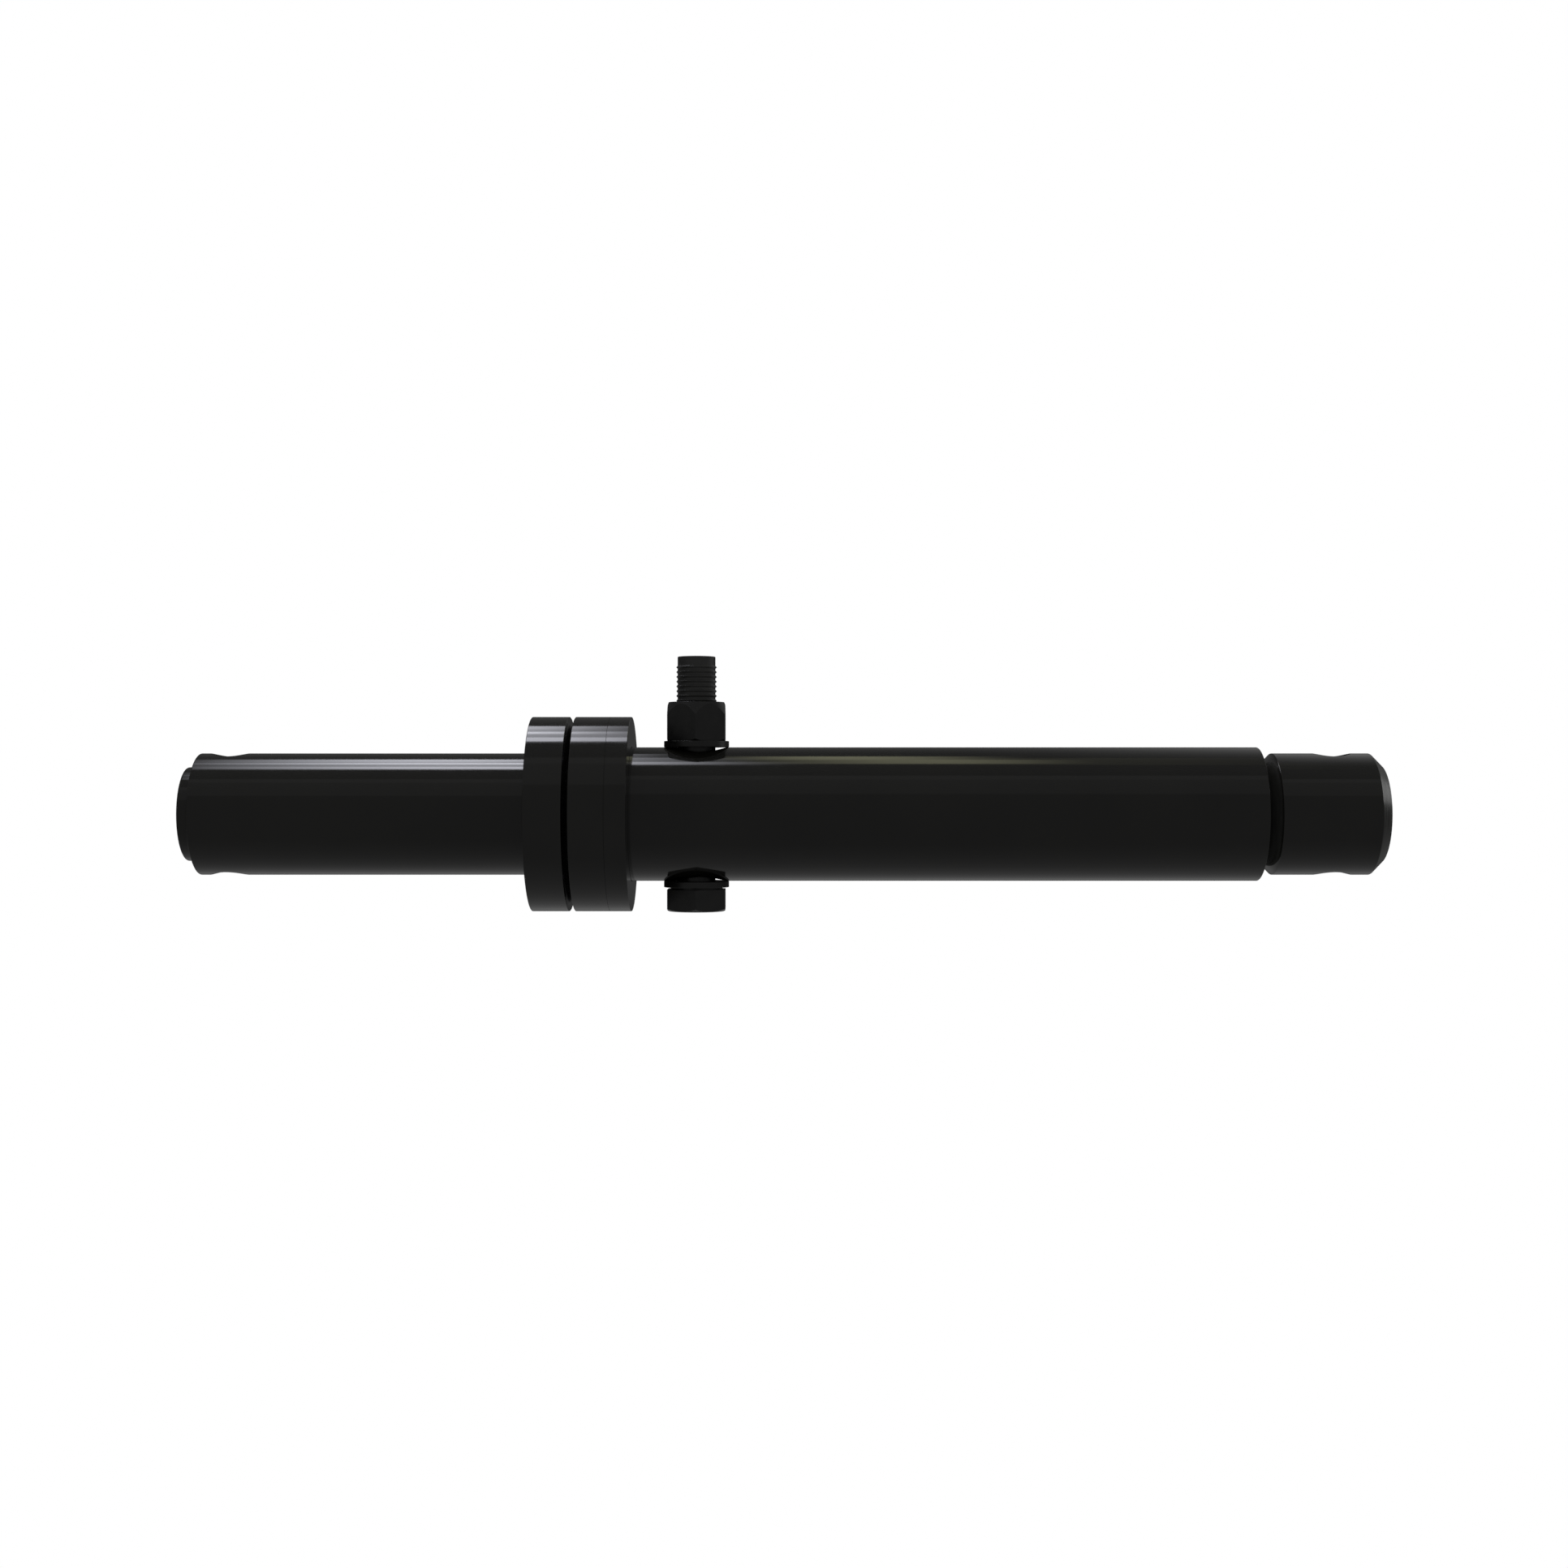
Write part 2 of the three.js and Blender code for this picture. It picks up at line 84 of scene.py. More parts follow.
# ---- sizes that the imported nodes' boxes don't give ----

BARREL_BORE = 32.15  # tubes, bores and seats are given by their radii
PLUNGER_BORE = 24.8
SPIGOT_RADIUS = 24.5
SPIGOT_BEVEL = 1.0
ROD_DISC = 7.0  # how far the disc stands out of the plunger's end
STOP_CLEARANCE = 0.05
PIN_EYE_RADIUS = 9.7
PIN_CENTRES = 576.0
GAP_SHADE_REACH = (41.0, 47.0)  # where the painted shade in the gap at the gland thins out, from the axis

BOLT_HOLE_X = -329.4
BOLT_HOLE_RADIUS = 12.7
BOLT_RADIUS = 9.9
THREAD_RADIUS = 10.6
THREAD_PITCH = 2.5
THREAD_RIDGE = 1.65
THREAD_TURNS = 16
BOLT_TIP_LAND = 4.7
HEX_FLATS = 30.0
HEX_CORNER = HEX_FLATS / math.sqrt(3)
HEX_CLEAR = HEX_CORNER + 0.1  # a trimming outline's radius where it cuts nothing
HEAD_HEIGHT = 12.5
HEAD_FACE = 1.0
HEAD_FACE_RADIUS = 13.6
HEAD_CUT = 1.6  # how high the cone under the head cuts its corners
NUT_CROWN = 7.0  # and how far down the cone on the nut does
CONE_START = HEX_FLATS / 2 - 0.5  # these cones' smaller radius
NUT_BASE_CUT = 1.6
NUT_MOUTH = 0.6
NUT_CLEARANCE = 0.15
TRIM_SKIN = 0.01  # how far a trimming outline stands beyond an end face
WASHER_HOLE = 10.9

FLANGE_BORE = 35.225
BUSH_SEAT_RADIUS = 35.325
BUSH_SEAT_DEPTH = 11.9
BUSH_LEAD = 0.6
BUSH_GROOVE_OFFSET = 2.5
BUSH_GROOVE_HALF = 0.9
BUSH_GROOVE_DEPTH = 0.6
GLAND_THROAT = 32.25
RUNNING_RADIUS = 32.05  # bores that slide on the plunger
WIPER_SEAT_RADIUS = 36.3
WIPER_SEAT_DEPTH = 4.2
WIPER_LIP_EDGE = 0.05
WIPER_LIP_TIP = 0.7
WIPER_LIP_ROOT = 1.5
WIPER_LIP_HEIGHT = 1.1
WIPER_RELIEF = 1.2

SCREW_COUNT = 6
SCREW_CIRCLE = 43.0
SCREW_RADIUS = 3.0
SCREW_PITCH = 1.0
SCREW_TURNS = 14
SCREW_THREAD_DEPTH = 0.5
SCREW_RUNOUT = 0.5
SCREW_TIP = 1.0
SCREW_POINT = (0.9, 0.6)  # bevels along the screw and across it
SCREW_HEAD_BEVEL = (0.6, 0.5)
SCREW_HEAD_RADIUS = 5.0
SCREW_HEAD = 6.0
SCREW_SOCKET = 5.0
SCREW_SOCKET_DEPTH = 3.0
SCREW_HOLE_RADIUS = 3.4
COUNTERBORE_RADIUS = 5.6
COUNTERBORE_DEPTH = 6.5
HOLE_MOUTH = 0.5
TAP_RADIUS = 3.3
TAP_MOUTH = 1.0
TAP_FLOOR = 1.5  # how much metal is left behind a tapped hole
DRILL_POINT = 1.0
RIDGE_SHARE = 0.9  # a ridge's share of the pitch

BASE_CHAMFER = 6.2
GROOVE_LIP = -31.5
GROOVE_DEPTH = 7.7

PORT_X = -19.5
PORT_FLOOR = 29.5
PORT_SPOT_RADIUS = 10.9
PORT_HOLE_RADIUS = 7.3
PORT_HOLE_DEPTH = 15.0
PORT_RISE = 10.0  # how far the port's cutters stand outside the plug
PORT_THREAD_RADIUS = 7.0
PORT_THREAD_PITCH = 1.5
PORT_THREAD_DEPTH = 0.8
OILWAY_RADIUS = 4.0
OILWAY_POINT = 2.0
FITTING_FLATS = 17.5
FITTING_BORE = 1.9
FITTING_HEX = (31.3, 40.3)
FITTING_CUT = 1.3
FITTING_INNER_TURNS = 8
FITTING_OUTER_TURNS = 6
FITTING_RUNOUT = 1.6

SLOT_HALF_WIDTH = 10.4
SLOT_ENDS = (-345.4, -158.7)
LOCK_SCREW_X = -131.0
LOCK_SCREW_RADIUS = 4.0
LOCK_SCREW_PITCH = 1.25
LOCK_SCREW_TURNS = 10
LOCK_SCREW_THREAD_DEPTH = 0.6
LOCK_HOLE_RADIUS = 4.3
LOCK_HOLE_FLOOR = 17.0
LOCK_HOLE_REACH = 40.0
LOCK_SOCKET = 4.0
LOCK_SOCKET_DEPTH = 4.0

PISTON_RADIUS = 31.5
PISTON_SHOULDER = -120.0
PISTON_BEVEL = 1.5
WEAR_GROOVES = ((-117.0, -107.0, 29.4), (-91.0, -81.0, 29.4))  # start, end and floor
SEAL_GROOVE = (-103.0, -95.0, 26.0)
O_RING_GROOVE = (-143.5, -140.1, 22.2)
O_RING_CENTRE = 23.5
O_RING_SECTION = 1.0
GROOVE_CLEARANCE = 0.3
SEAL_LIP_EDGE = 1.0
SEAL_MOUTH = 1.4
SEAL_CUP_DEPTH = 4.0
SAW_HALF = 0.7
SAW_HEIGHTS = (20.0, 40.0)


def extent(node):
    """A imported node's lowest and highest corners, in millimetres."""
    low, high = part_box(node)
    return low / MM, high / MM


GLAND_FACE = extent("gland_flange")[0].x
STOP_FACE = extent("stop_flange")[1].x
BASE_END = extent("base_plug")[1].x
PLUNGER_RADIUS = extent("plunger_tube")[1].z
BOLT_X = sum(corner.x for corner in extent("cross_bolt")) / 2


# ---- outlines ----


def corner_arc(before, corner, after, radius):
    """The points that round off one corner of an outline."""
    to_before = before - corner
    to_after = after - corner
    half = to_before.angle(to_after, math.pi) / 2
    if radius < TINY or half > STRAIGHT:
        return [corner]
    room = CORNER_SHARE * min(to_before.length, to_after.length)
    reach = min(radius / math.tan(half), room)
    start = corner + to_before.normalized() * reach
    stop = corner + to_after.normalized() * reach
    points = []
    for step in range(CORNER_STEPS + 1):
        share = step / CORNER_STEPS
        near, middle, far = (1 - share) ** 2, 2 * share * (1 - share), share**2
        points.append(start * near + corner * middle + stop * far)
    return points


def rounded(outline, edge, closed=True):
    """An outline with each corner rounded. A corner may carry its own radius as a third number."""
    corners = [Vector(point[:2]) for point in outline]
    points = []
    for index, corner in enumerate(corners):
        if not closed and index in (0, len(corners) - 1):
            points.append(corner)
            continue
        radius = outline[index][2] if len(outline[index]) > 2 else edge
        after = corners[(index + 1) % len(corners)]
        points.extend(corner_arc(corners[index - 1], corner, after, radius))
    return points


def stepped(points, closed):
    """The same outline with its long stretches divided, so that no face is a long sliver."""
    ends = points[1:] + points[:1] if closed else points[1:]
    divided = []
    for here, there in zip(points, ends):
        count = max(1, math.ceil((there - here).length / RING_STEP))
        divided.extend(here.lerp(there, step / count) for step in range(count))
    if not closed:
        divided.append(points[-1])
    return divided


def thread(start, turns, pitch, root, crest, ridge=None):
    """The outline of a row of thread ridges with flat lands between them."""
    ridge = ridge or RIDGE_SHARE * pitch
    outline = []
    for turn in range(turns):
        middle = start + (turn + 0.5) * pitch
        outline.append((middle - ridge / 2, root, ROOT_EDGE))
        outline.append((middle, crest, FINE_EDGE))
        outline.append((middle + ridge / 2, root, ROOT_EDGE))
    return outline


def six_sided(flats):
    """A regular hexagon by its width across flats, with its first corner at a quarter turn."""
    corner = flats / math.sqrt(3)
    angles = [math.pi / 2 + math.pi * side / 3 for side in range(6)]
    return [(corner * math.cos(angle), corner * math.sin(angle)) for angle in angles]


def knurl(radius, teeth=48, depth=0.22):
    """A circle of fine teeth."""
    points = []
    for tooth in range(2 * teeth):
        angle = math.pi * tooth / teeth
        reach = radius - depth * (tooth % 2)
        points.append((reach * math.cos(angle), reach * math.sin(angle)))
    return points


def countersunk(face, radius, width, inwards=1):
    """The start of a round hole's cutter: from its axis outside a face to inside its mouth."""
    outside = face - inwards * OVERCUT
    return [(outside, 0), (outside, radius + OVERCUT + width), (face + inwards * width, radius)]


# ---- meshes ----


def placed(axis, along, across, over, at=(0, 0, 0)):
    """A point given along an axis and across it, in metres in the frame."""
    spot = [across, over]
    spot.insert("XYZ".index(axis), along)
    return (Vector(spot) + Vector(at)) * MM


def as_object(shape):
    """A new object from a bmesh, its faces turned outwards."""
    bmesh.ops.recalc_face_normals(shape, faces=shape.faces)
    mesh = bpy.data.meshes.new("shape")
    shape.to_mesh(mesh)
    shape.free()
    made = bpy.data.objects.new("shape", mesh)
    bpy.context.scene.collection.objects.link(made)
    return made


def bridge(shape, first, second, sides):
    """Faces between two rings of corners. A ring of one corner is a pole."""
    for side in range(sides):
        following = (side + 1) % sides
        quad = [
            first[side % len(first)],
            first[following % len(first)],
            second[following % len(second)],
            second[side % len(second)],
        ]
        corners = list(dict.fromkeys(quad))
        if len(corners) > 2:
            shape.faces.new(corners)


def turned(outline, axis="X", at=(0, 0, 0), sides=SIDES, edge=EDGE):
    """A solid of revolution. An outline that starts and ends on the axis is solid, and any
    other one closes on itself and leaves a hole."""
    closed = outline[0][1] > TINY
    points = stepped(rounded(outline, edge, closed), closed)
    shape = bmesh.new()
    rings = []
    for along, radius in points:
        count = sides if radius > TINY else 1
        angles = [2 * math.pi * side / sides for side in range(count)]
        corners = [
            placed(axis, along, radius * math.cos(angle), radius * math.sin(angle), at)
            for angle in angles
        ]
        rings.append([shape.verts.new(corner) for corner in corners])
    following = rings[1:] + rings[:1] if closed else rings[1:]
    for first, second in zip(rings, following):
        bridge(shape, first, second, sides)
    return as_object(shape)


def ring(inner, outer, start, end, axis="X", at=(0, 0, 0), sides=SIDES, edge=EDGE):
    """A hollow ring with a rectangular section."""
    outline = [(start, inner), (start, outer), (end, outer), (end, inner)]
    return turned(outline, axis, at, sides, edge)


def extruded(outline, axis, start, end, at=(0, 0, 0), edge=EDGE):
    """A straight bar of any section."""
    section = rounded(outline, edge)
    shape = bmesh.new()
    ends = []
    for along in (start, end):
        corners = [placed(axis, along, point.x, point.y, at) for point in section]
        ends.append([shape.verts.new(corner) for corner in corners])
    bridge(shape, ends[0], ends[1], len(section))
    shape.faces.new(ends[0])
    shape.faces.new(ends[1])
    return as_object(shape)


def arc(centre, radius, first, count):
    """Points round a centre on the X axis from a first angle, each with its outward direction."""
    path = []
    for step in range(count):
        angle = first + math.pi * step / PATH_STEPS
        outward = Vector((math.cos(angle), math.sin(angle)))
        path.append((Vector((centre, 0)) + outward * radius, outward))
    return path


def circle(centre, radius):
    """The outline of a round hole."""
    return arc(centre, radius, 0, 2 * PATH_STEPS)


def stadium(start, end, half_width):
    """The outline of a round-ended slot along X."""
    far_end = arc(end - half_width, half_width, -math.pi / 2, PATH_STEPS + 1)
    near_end = arc(start + half_width, half_width, math.pi / 2, PATH_STEPS + 1)
    return far_end + near_end


def mouth(edge):
    """How a hole's rounded edge opens: steps of (outwards, above the surface)."""
    steps = []
    for step in range(CORNER_STEPS + 1):
        angle = MOUTH_SWEEP * step / CORNER_STEPS
        steps.append((edge * (1 - math.cos(angle)), edge * (math.sin(angle) - 1)))
    outermost = steps[-1][0] + 0.1 * edge
    return steps + [(outermost, 2 * edge), (outermost, CUTTER_RISE)]


def crossing(path, tube_radius, axis="Z", edge=EDGE):
    """A cutter right across a tube that lies along X. The hole's edges are rounded where they
    leave the tube's surface."""
    shape = bmesh.new()
    upper = [(out, lift, 1) for out, lift in mouth(edge)]
    lower = [(out, lift, -1) for out, lift in reversed(mouth(edge))]
    rings = []
    for out, lift, side in lower + upper:
        corners = []
        for point, outward in path:
            spot = point + outward * out
            surface = math.sqrt(max(tube_radius**2 - spot.y**2, 0))
            height = side * (surface + lift)
            corners.append(shape.verts.new(placed(axis, height, spot.x, spot.y)))
        rings.append(corners)
    for first, second in zip(rings, rings[1:]):
        bridge(shape, first, second, len(path))
    shape.faces.new(rings[0])
    shape.faces.new(rings[-1])
    return as_object(shape)


# ---- joining, cutting and shading ----


def settle(piece):
    """Makes a piece's modifiers part of its mesh."""
    bpy.context.view_layer.update()
    evaluated = piece.evaluated_get(bpy.context.evaluated_depsgraph_get())
    mesh = bpy.data.meshes.new_from_object(evaluated)
    piece.modifiers.clear()
    piece.data = mesh
    return piece


def combine(piece, operation, tools):
    """One boolean after another. It uses up the tools."""
    for tool in tools:
        modifier = piece.modifiers.new("combine", "BOOLEAN")
        modifier.operation = operation
        modifier.solver = "MANIFOLD"
        modifier.object = tool
        settle(piece)
        bpy.data.objects.remove(tool)
    return piece


def cut(piece, *tools):
    """The piece without what the tools take out of it."""
    return combine(piece, "DIFFERENCE", tools)


def common(piece, *tools):
    """What the piece and the tools share."""
    return combine(piece, "INTERSECT", tools)


def join(piece, *tools):
    """The piece and the tools as one solid."""
    return combine(piece, "UNION", tools)


def bored(outline, axis="X", at=(0, 0, 0), sides=FINE_SIDES):
    """A turned cutter with sharp corners."""
    return turned(outline, axis, at, sides, 0)


def hexagon(flats, start, end, axis, at, trim, sides=BOLT_SIDES, edge=EDGE):
    """A hexagonal bar with its corners trimmed to a turned outline."""
    bar = extruded(six_sided(flats), axis, start, end, at, SOFT_EDGE)
    return common(bar, turned(trim, axis, at, sides, edge))


def shade(piece, sharp_angle):
    """Smooth shading that keeps sharp corners sharp and flat faces flat."""
    piece.data.shade_smooth()
    piece.data.set_sharp_from_angle(angle=sharp_angle)
    modifier = piece.modifiers.new("even_normals", "WEIGHTED_NORMAL")
    modifier.keep_sharp = True
    return settle(piece)


# ---- materials ----


class Nodes:
    """A node tree, with short ways to add to it."""

    def __init__(self, tree):
        self.tree = tree

    def node(self, kind, **settings):
        """A new node with its settings."""
        made = self.tree.nodes.new(kind)
        for key, value in settings.items():
            setattr(made, key, value)
        return made

    def link(self, source, target):
        self.tree.links.new(source, target)

    def parts(self, vector):
        """A vector's parts along X, Y and Z."""
        split = self.node("ShaderNodeSeparateXYZ")
        self.link(vector, split.inputs["Vector"])
        return split.outputs

    def between(self, value, low, high, start=0.3, end=0.7, **settings):
        """A value from start to end carried over to a range from low to high."""
        made = self.node("ShaderNodeMapRange", **settings)
        for socket, number in zip(made.inputs[1:5], (start, end, low, high)):
            socket.default_value = number
        self.link(value, made.inputs["Value"])
        return made.outputs["Result"]

    def faded(self, value, start, end, low, high):
        """The same with its ends eased."""
        return self.between(value, low, high, start, end, interpolation_type="SMOOTHSTEP")

    def calculated(self, operation, first, second):
        """Two values added, multiplied and so on."""
        made = self.node("ShaderNodeMath", operation=operation)
        self.link(first, made.inputs[0])
        self.link(second, made.inputs[1])
        return made.outputs["Value"]

    def multiplied(self, first, second):
        return self.calculated("MULTIPLY", first, second)

    def mixed(self, share, first, second, data_type="FLOAT"):
        """The first where the share is 0, and the second where it is 1."""
        made = self.node("ShaderNodeMix", data_type=data_type)
        inputs = [socket for socket in made.inputs if socket.enabled]
        for source, target in zip((share, first, second), inputs):
            self.link(source, target)
        return next(socket for socket in made.outputs if socket.enabled)


class Finish(Nodes):
    """A material on the Principled shader, with short ways to add what its surface shows."""

    def __init__(self, name, **constants):
        self.material = bpy.data.materials.new(name)
        self.material.use_nodes = True
        super().__init__(self.material.node_tree)
        self.shader = self.tree.nodes["Principled BSDF"]
        for socket, value in constants.items():
            self.shader.inputs[socket.replace("_", " ")].default_value = value
        self.place = self.node("ShaderNodeTexCoord").outputs["Object"]

    def stretched(self, scale):
        """Places scaled unevenly, for marks that run one way."""
        mapping = self.node("ShaderNodeMapping")
        mapping.inputs["Scale"].default_value = scale
        self.link(self.place, mapping.inputs["Vector"])
        return mapping.outputs["Vector"]

    def noise(self, scale, detail=2.0, place=None):
        """Grain with features about 1 / scale metres across."""
        made = self.node("ShaderNodeTexNoise")
        made.inputs["Scale"].default_value = scale
        made.inputs["Detail"].default_value = detail
        self.link(place or self.place, made.inputs["Vector"])
        return made.outputs["Fac"]

    def reach(self):
        """The distance from the ram's axis, in metres."""
        flat = self.node("ShaderNodeVectorMath", operation="MULTIPLY")
        self.link(self.place, flat.inputs[0])
        flat.inputs[1].default_value = (0, 1, 1)
        length = self.node("ShaderNodeVectorMath", operation="LENGTH")
        self.link(flat.outputs["Vector"], length.inputs[0])
        return length.outputs["Value"]

    def band(self, along, start, end, fade=0.4):
        """1 between two places along the ram, in millimetres, and 0 beyond them."""
        return self.multiplied(
            self.between(along, 0, 1, (start - fade) * MM, start * MM),
            self.between(along, 1, 0, end * MM, (end + fade) * MM),
        )

    def near(self, reach, start, end):
        """1 nearer to the axis than the start, in millimetres, and 0 past the end."""
        return self.between(reach, 1, 0, start * MM, end * MM)

    def ramp(self, value, dark, light, start=0.35, end=0.65):
        """A colour that drifts between two tones."""
        made = self.node("ShaderNodeValToRGB")
        made.color_ramp.elements[0].position = start
        made.color_ramp.elements[0].color = (*dark, 1)
        made.color_ramp.elements[1].position = end
        made.color_ramp.elements[1].color = (*light, 1)
        self.link(value, made.inputs["Fac"])
        return made.outputs["Color"]

    def tones(self, value, *settings):
        """Base colour that drifts between two tones."""
        self.link(self.ramp(value, *settings), self.shader.inputs["Base Color"])

    def roughness(self, value, low, high):
        self.link(self.between(value, low, high), self.shader.inputs["Roughness"])

    def relief(self, *layers):
        """Bump from (height, strength, depth in millimetres) layers, one over another."""
        normal = None
        for height, strength, depth in layers:
            bump = self.node("ShaderNodeBump")
            bump.inputs["Strength"].default_value = strength
            bump.inputs["Distance"].default_value = depth * MM
            self.link(height, bump.inputs["Height"])
            if normal:
                self.link(normal, bump.inputs["Normal"])
            normal = bump.outputs["Normal"]
        self.link(normal, self.shader.inputs["Normal"])


def black_enamel():
    """Thin black enamel over turned steel: faint peel and a sheen that drifts a little. Painted
    shade makes the gap where the plunger enters the gland near-black and matte, painted light
    lightens the weld groove, and handling has rubbed the base chamfer dull."""
    finish = Finish("black_enamel", IOR=1.5)
    along = finish.parts(finish.place)["X"]
    reach = finish.reach()
    gap = finish.band(along, STOP_FACE - GAP_MARGIN, GLAND_FACE + GAP_MARGIN)
    # painted shade: the gap between the stop flange and the gland is painted near-black and made
    # matte
    gap_painted_shade = finish.multiplied(gap, finish.near(reach, *GAP_SHADE_REACH))
    groove = finish.band(along, GROOVE_LIP - GROOVE_DEPTH, GROOVE_LIP)
    # painted light: the weld groove is given a lighter tone than the enamel around it
    groove_painted_light = finish.multiplied(groove, finish.near(reach, *GROOVE_LIGHT_REACH))
    rubbed = finish.band(along, *RUBBED_BAND)
    color = finish.ramp(finish.noise(22, 4), *ENAMEL_TONES)
    scuffs = finish.noise(1, 3, finish.stretched((900, 60, 60)))
    zones = ((groove_painted_light, GROOVE_PAINTED_LIGHT_TONES), (rubbed, RUBBED_TONES), (gap_painted_shade, GAP_PAINTED_SHADE_TONES))
    for share, tones in zones:
        color = finish.mixed(share, color, finish.ramp(scuffs, *tones), "RGBA")
    finish.link(color, finish.shader.inputs["Base Color"])
    sheen = finish.between(finish.noise(130, 3), 0.06, 0.10)
    sheen = finish.mixed(rubbed, sheen, finish.between(scuffs, 0.24, 0.34))
    soft = finish.between(finish.noise(500, 2), 0.75, 0.95)
    finish.link(finish.mixed(gap_painted_shade, sheen, soft), finish.shader.inputs["Roughness"])
    finish.relief(
        (finish.noise(420, 1), 0.15, 0.01),
        (finish.noise(2600, 2), 0.25, 0.002),
    )
    return finish.material


def black_oxide():
    """Oiled black-oxide steel: mottled, duller than the enamel, and worn paler on the thread
    that stands out of the lock nut."""
    finish = Finish("black_oxide", IOR=1.5)
    height = finish.parts(finish.place)["Z"]
    nut_top = extent("lock_nut")[1].z * MM
    worn = finish.between(height, 0, 1, nut_top, nut_top + MM)
    mottle = finish.noise(160, 5)
    black = finish.ramp(mottle, (0.0095, 0.0095, 0.0095), (0.0150, 0.0147, 0.0142))
    pale = finish.ramp(mottle, (0.036, 0.036, 0.035), (0.048, 0.048, 0.046))
    finish.link(finish.mixed(worn, black, pale, "RGBA"), finish.shader.inputs["Base Color"])
    oiled = finish.between(finish.noise(420, 3), 0.26, 0.4)
    dry = finish.between(finish.noise(700, 3), 0.42, 0.52)
    finish.link(finish.mixed(worn, oiled, dry), finish.shader.inputs["Roughness"])
    finish.relief((finish.noise(1800, 3), 0.3, 0.004))
    return finish.material


def bare_steel():
    """Turned and lightly oiled steel, with fine tool marks round its axis."""
    finish = Finish("bare_steel", Metallic=1.0, Anisotropic=0.4)
    finish.tones(finish.noise(60, 4), (0.28, 0.275, 0.265), (0.42, 0.415, 0.40))
    marks = finish.noise(1, 3, finish.stretched((5200, 40, 40)))
    finish.roughness(marks, 0.22, 0.38)
    finish.relief((marks, 0.35, 0.006))
    return finish.material


def sintered_bronze():
    """Porous bearing bronze, darkened by oil."""
    finish = Finish("sintered_bronze", Metallic=1.0)
    finish.tones(finish.noise(240, 4), (0.22, 0.12, 0.05), (0.46, 0.29, 0.13))
    finish.roughness(finish.noise(900, 2), 0.34, 0.5)
    finish.relief((finish.noise(2400, 3), 0.5, 0.012))
    return finish.material


def nitrile():
    """Black rubber with the fine bloom of a moulded seal."""
    finish = Finish("nitrile", IOR=1.5)
    finish.tones(finish.noise(700, 4), (0.010, 0.010, 0.010), (0.020, 0.020, 0.021))
    finish.roughness(finish.noise(300, 2), 0.5, 0.68)
    finish.relief((finish.noise(3200, 2), 0.4, 0.01))
    return finish.material


def blue_urethane():
    """Cast polyurethane: a soft sheen and a slightly cloudy colour."""
    finish = Finish(
        "blue_urethane", IOR=1.5, Subsurface_Weight=0.15, Subsurface_Scale=0.5 * MM
    )
    finish.tones(finish.noise(120, 3), (0.012, 0.035, 0.11), (0.022, 0.055, 0.16))
    finish.roughness(finish.noise(500, 2), 0.34, 0.46)
    finish.relief((finish.noise(1500, 2), 0.25, 0.008))
    return finish.material


def bearing_resin():
    """Cloth-filled bearing resin: threads of the cloth show in the machined face."""
    finish = Finish("bearing_resin", IOR=1.5)
    weave = finish.node("ShaderNodeTexBrick", offset=0.5)
    weave.inputs["Scale"].default_value = 900
    weave.inputs["Mortar Size"].default_value = 0.09
    finish.link(finish.place, weave.inputs["Vector"])
    finish.tones(weave.outputs["Fac"], (0.115, 0.052, 0.022), (0.055, 0.026, 0.012), 0.0, 1.0)
    finish.roughness(finish.noise(800, 3), 0.48, 0.62)
    finish.relief((weave.outputs["Fac"], 0.4, -0.02), (finish.noise(2200, 2), 0.3, 0.006))
    return finish.material


GAP_MARGIN = 0.1
# where the painted light in the weld groove fades out, from the axis
GROOVE_LIGHT_REACH = (PLUNGER_RADIUS - 1.2, PLUNGER_RADIUS - 0.4)
RUBBED_MARGIN = 0.6
RUBBED_BAND = (BASE_END - BASE_CHAMFER + RUBBED_MARGIN, BASE_END - RUBBED_MARGIN)

ENAMEL_TONES = ((0.0112, 0.0110, 0.0096), (0.0148, 0.0145, 0.0122))
# lighter tones of the painted light in the weld groove
GROOVE_PAINTED_LIGHT_TONES = ((0.036, 0.036, 0.034), (0.046, 0.046, 0.043))
RUBBED_TONES = ((0.034, 0.034, 0.031), (0.056, 0.056, 0.052))
# near-black tones of the painted shade in the gap at the gland
GAP_PAINTED_SHADE_TONES = ((0.0015, 0.0015, 0.0015), (0.003, 0.003, 0.003))

FINISHES = {
    "black_paint": black_enamel(),
    "black_steel": black_oxide(),
    "bare_steel": bare_steel(),
    "bronze": sintered_bronze(),
    "rubber": nitrile(),
    "urethane": blue_urethane(),
    "bearing_resin": bearing_resin(),
}


def fit(piece, node, body, slot, sharp_angle=SHARP_ANGLE):
    """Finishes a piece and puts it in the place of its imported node."""
    shade(piece, sharp_angle)
    piece.name = node + "_finished"
    piece.data.name = piece.name
    piece.data.materials.clear()
    piece.data.materials.append(FINISHES[slot])
    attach(piece, body)
    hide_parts(node)


# ---- the barrel and what is fixed to it ----


def barrel_tube():
    """The outer tube, with a clearance hole for the cross bolt above and below."""
    low, high = extent("barrel_tube")
    tube = ring(BARREL_BORE, high.z, low.x, high.x)
    return cut(tube, crossing(circle(BOLT_HOLE_X, BOLT_HOLE_RADIUS), high.z))


def screw_places():
    """Where the flange screws stand: (0, y, z) round the flange, one of them at the top."""
    angles = [math.pi / 2 + 2 * math.pi * index / SCREW_COUNT for index in range(SCREW_COUNT)]
    return [(0, SCREW_CIRCLE * math.cos(turn), SCREW_CIRCLE * math.sin(turn)) for turn in angles]


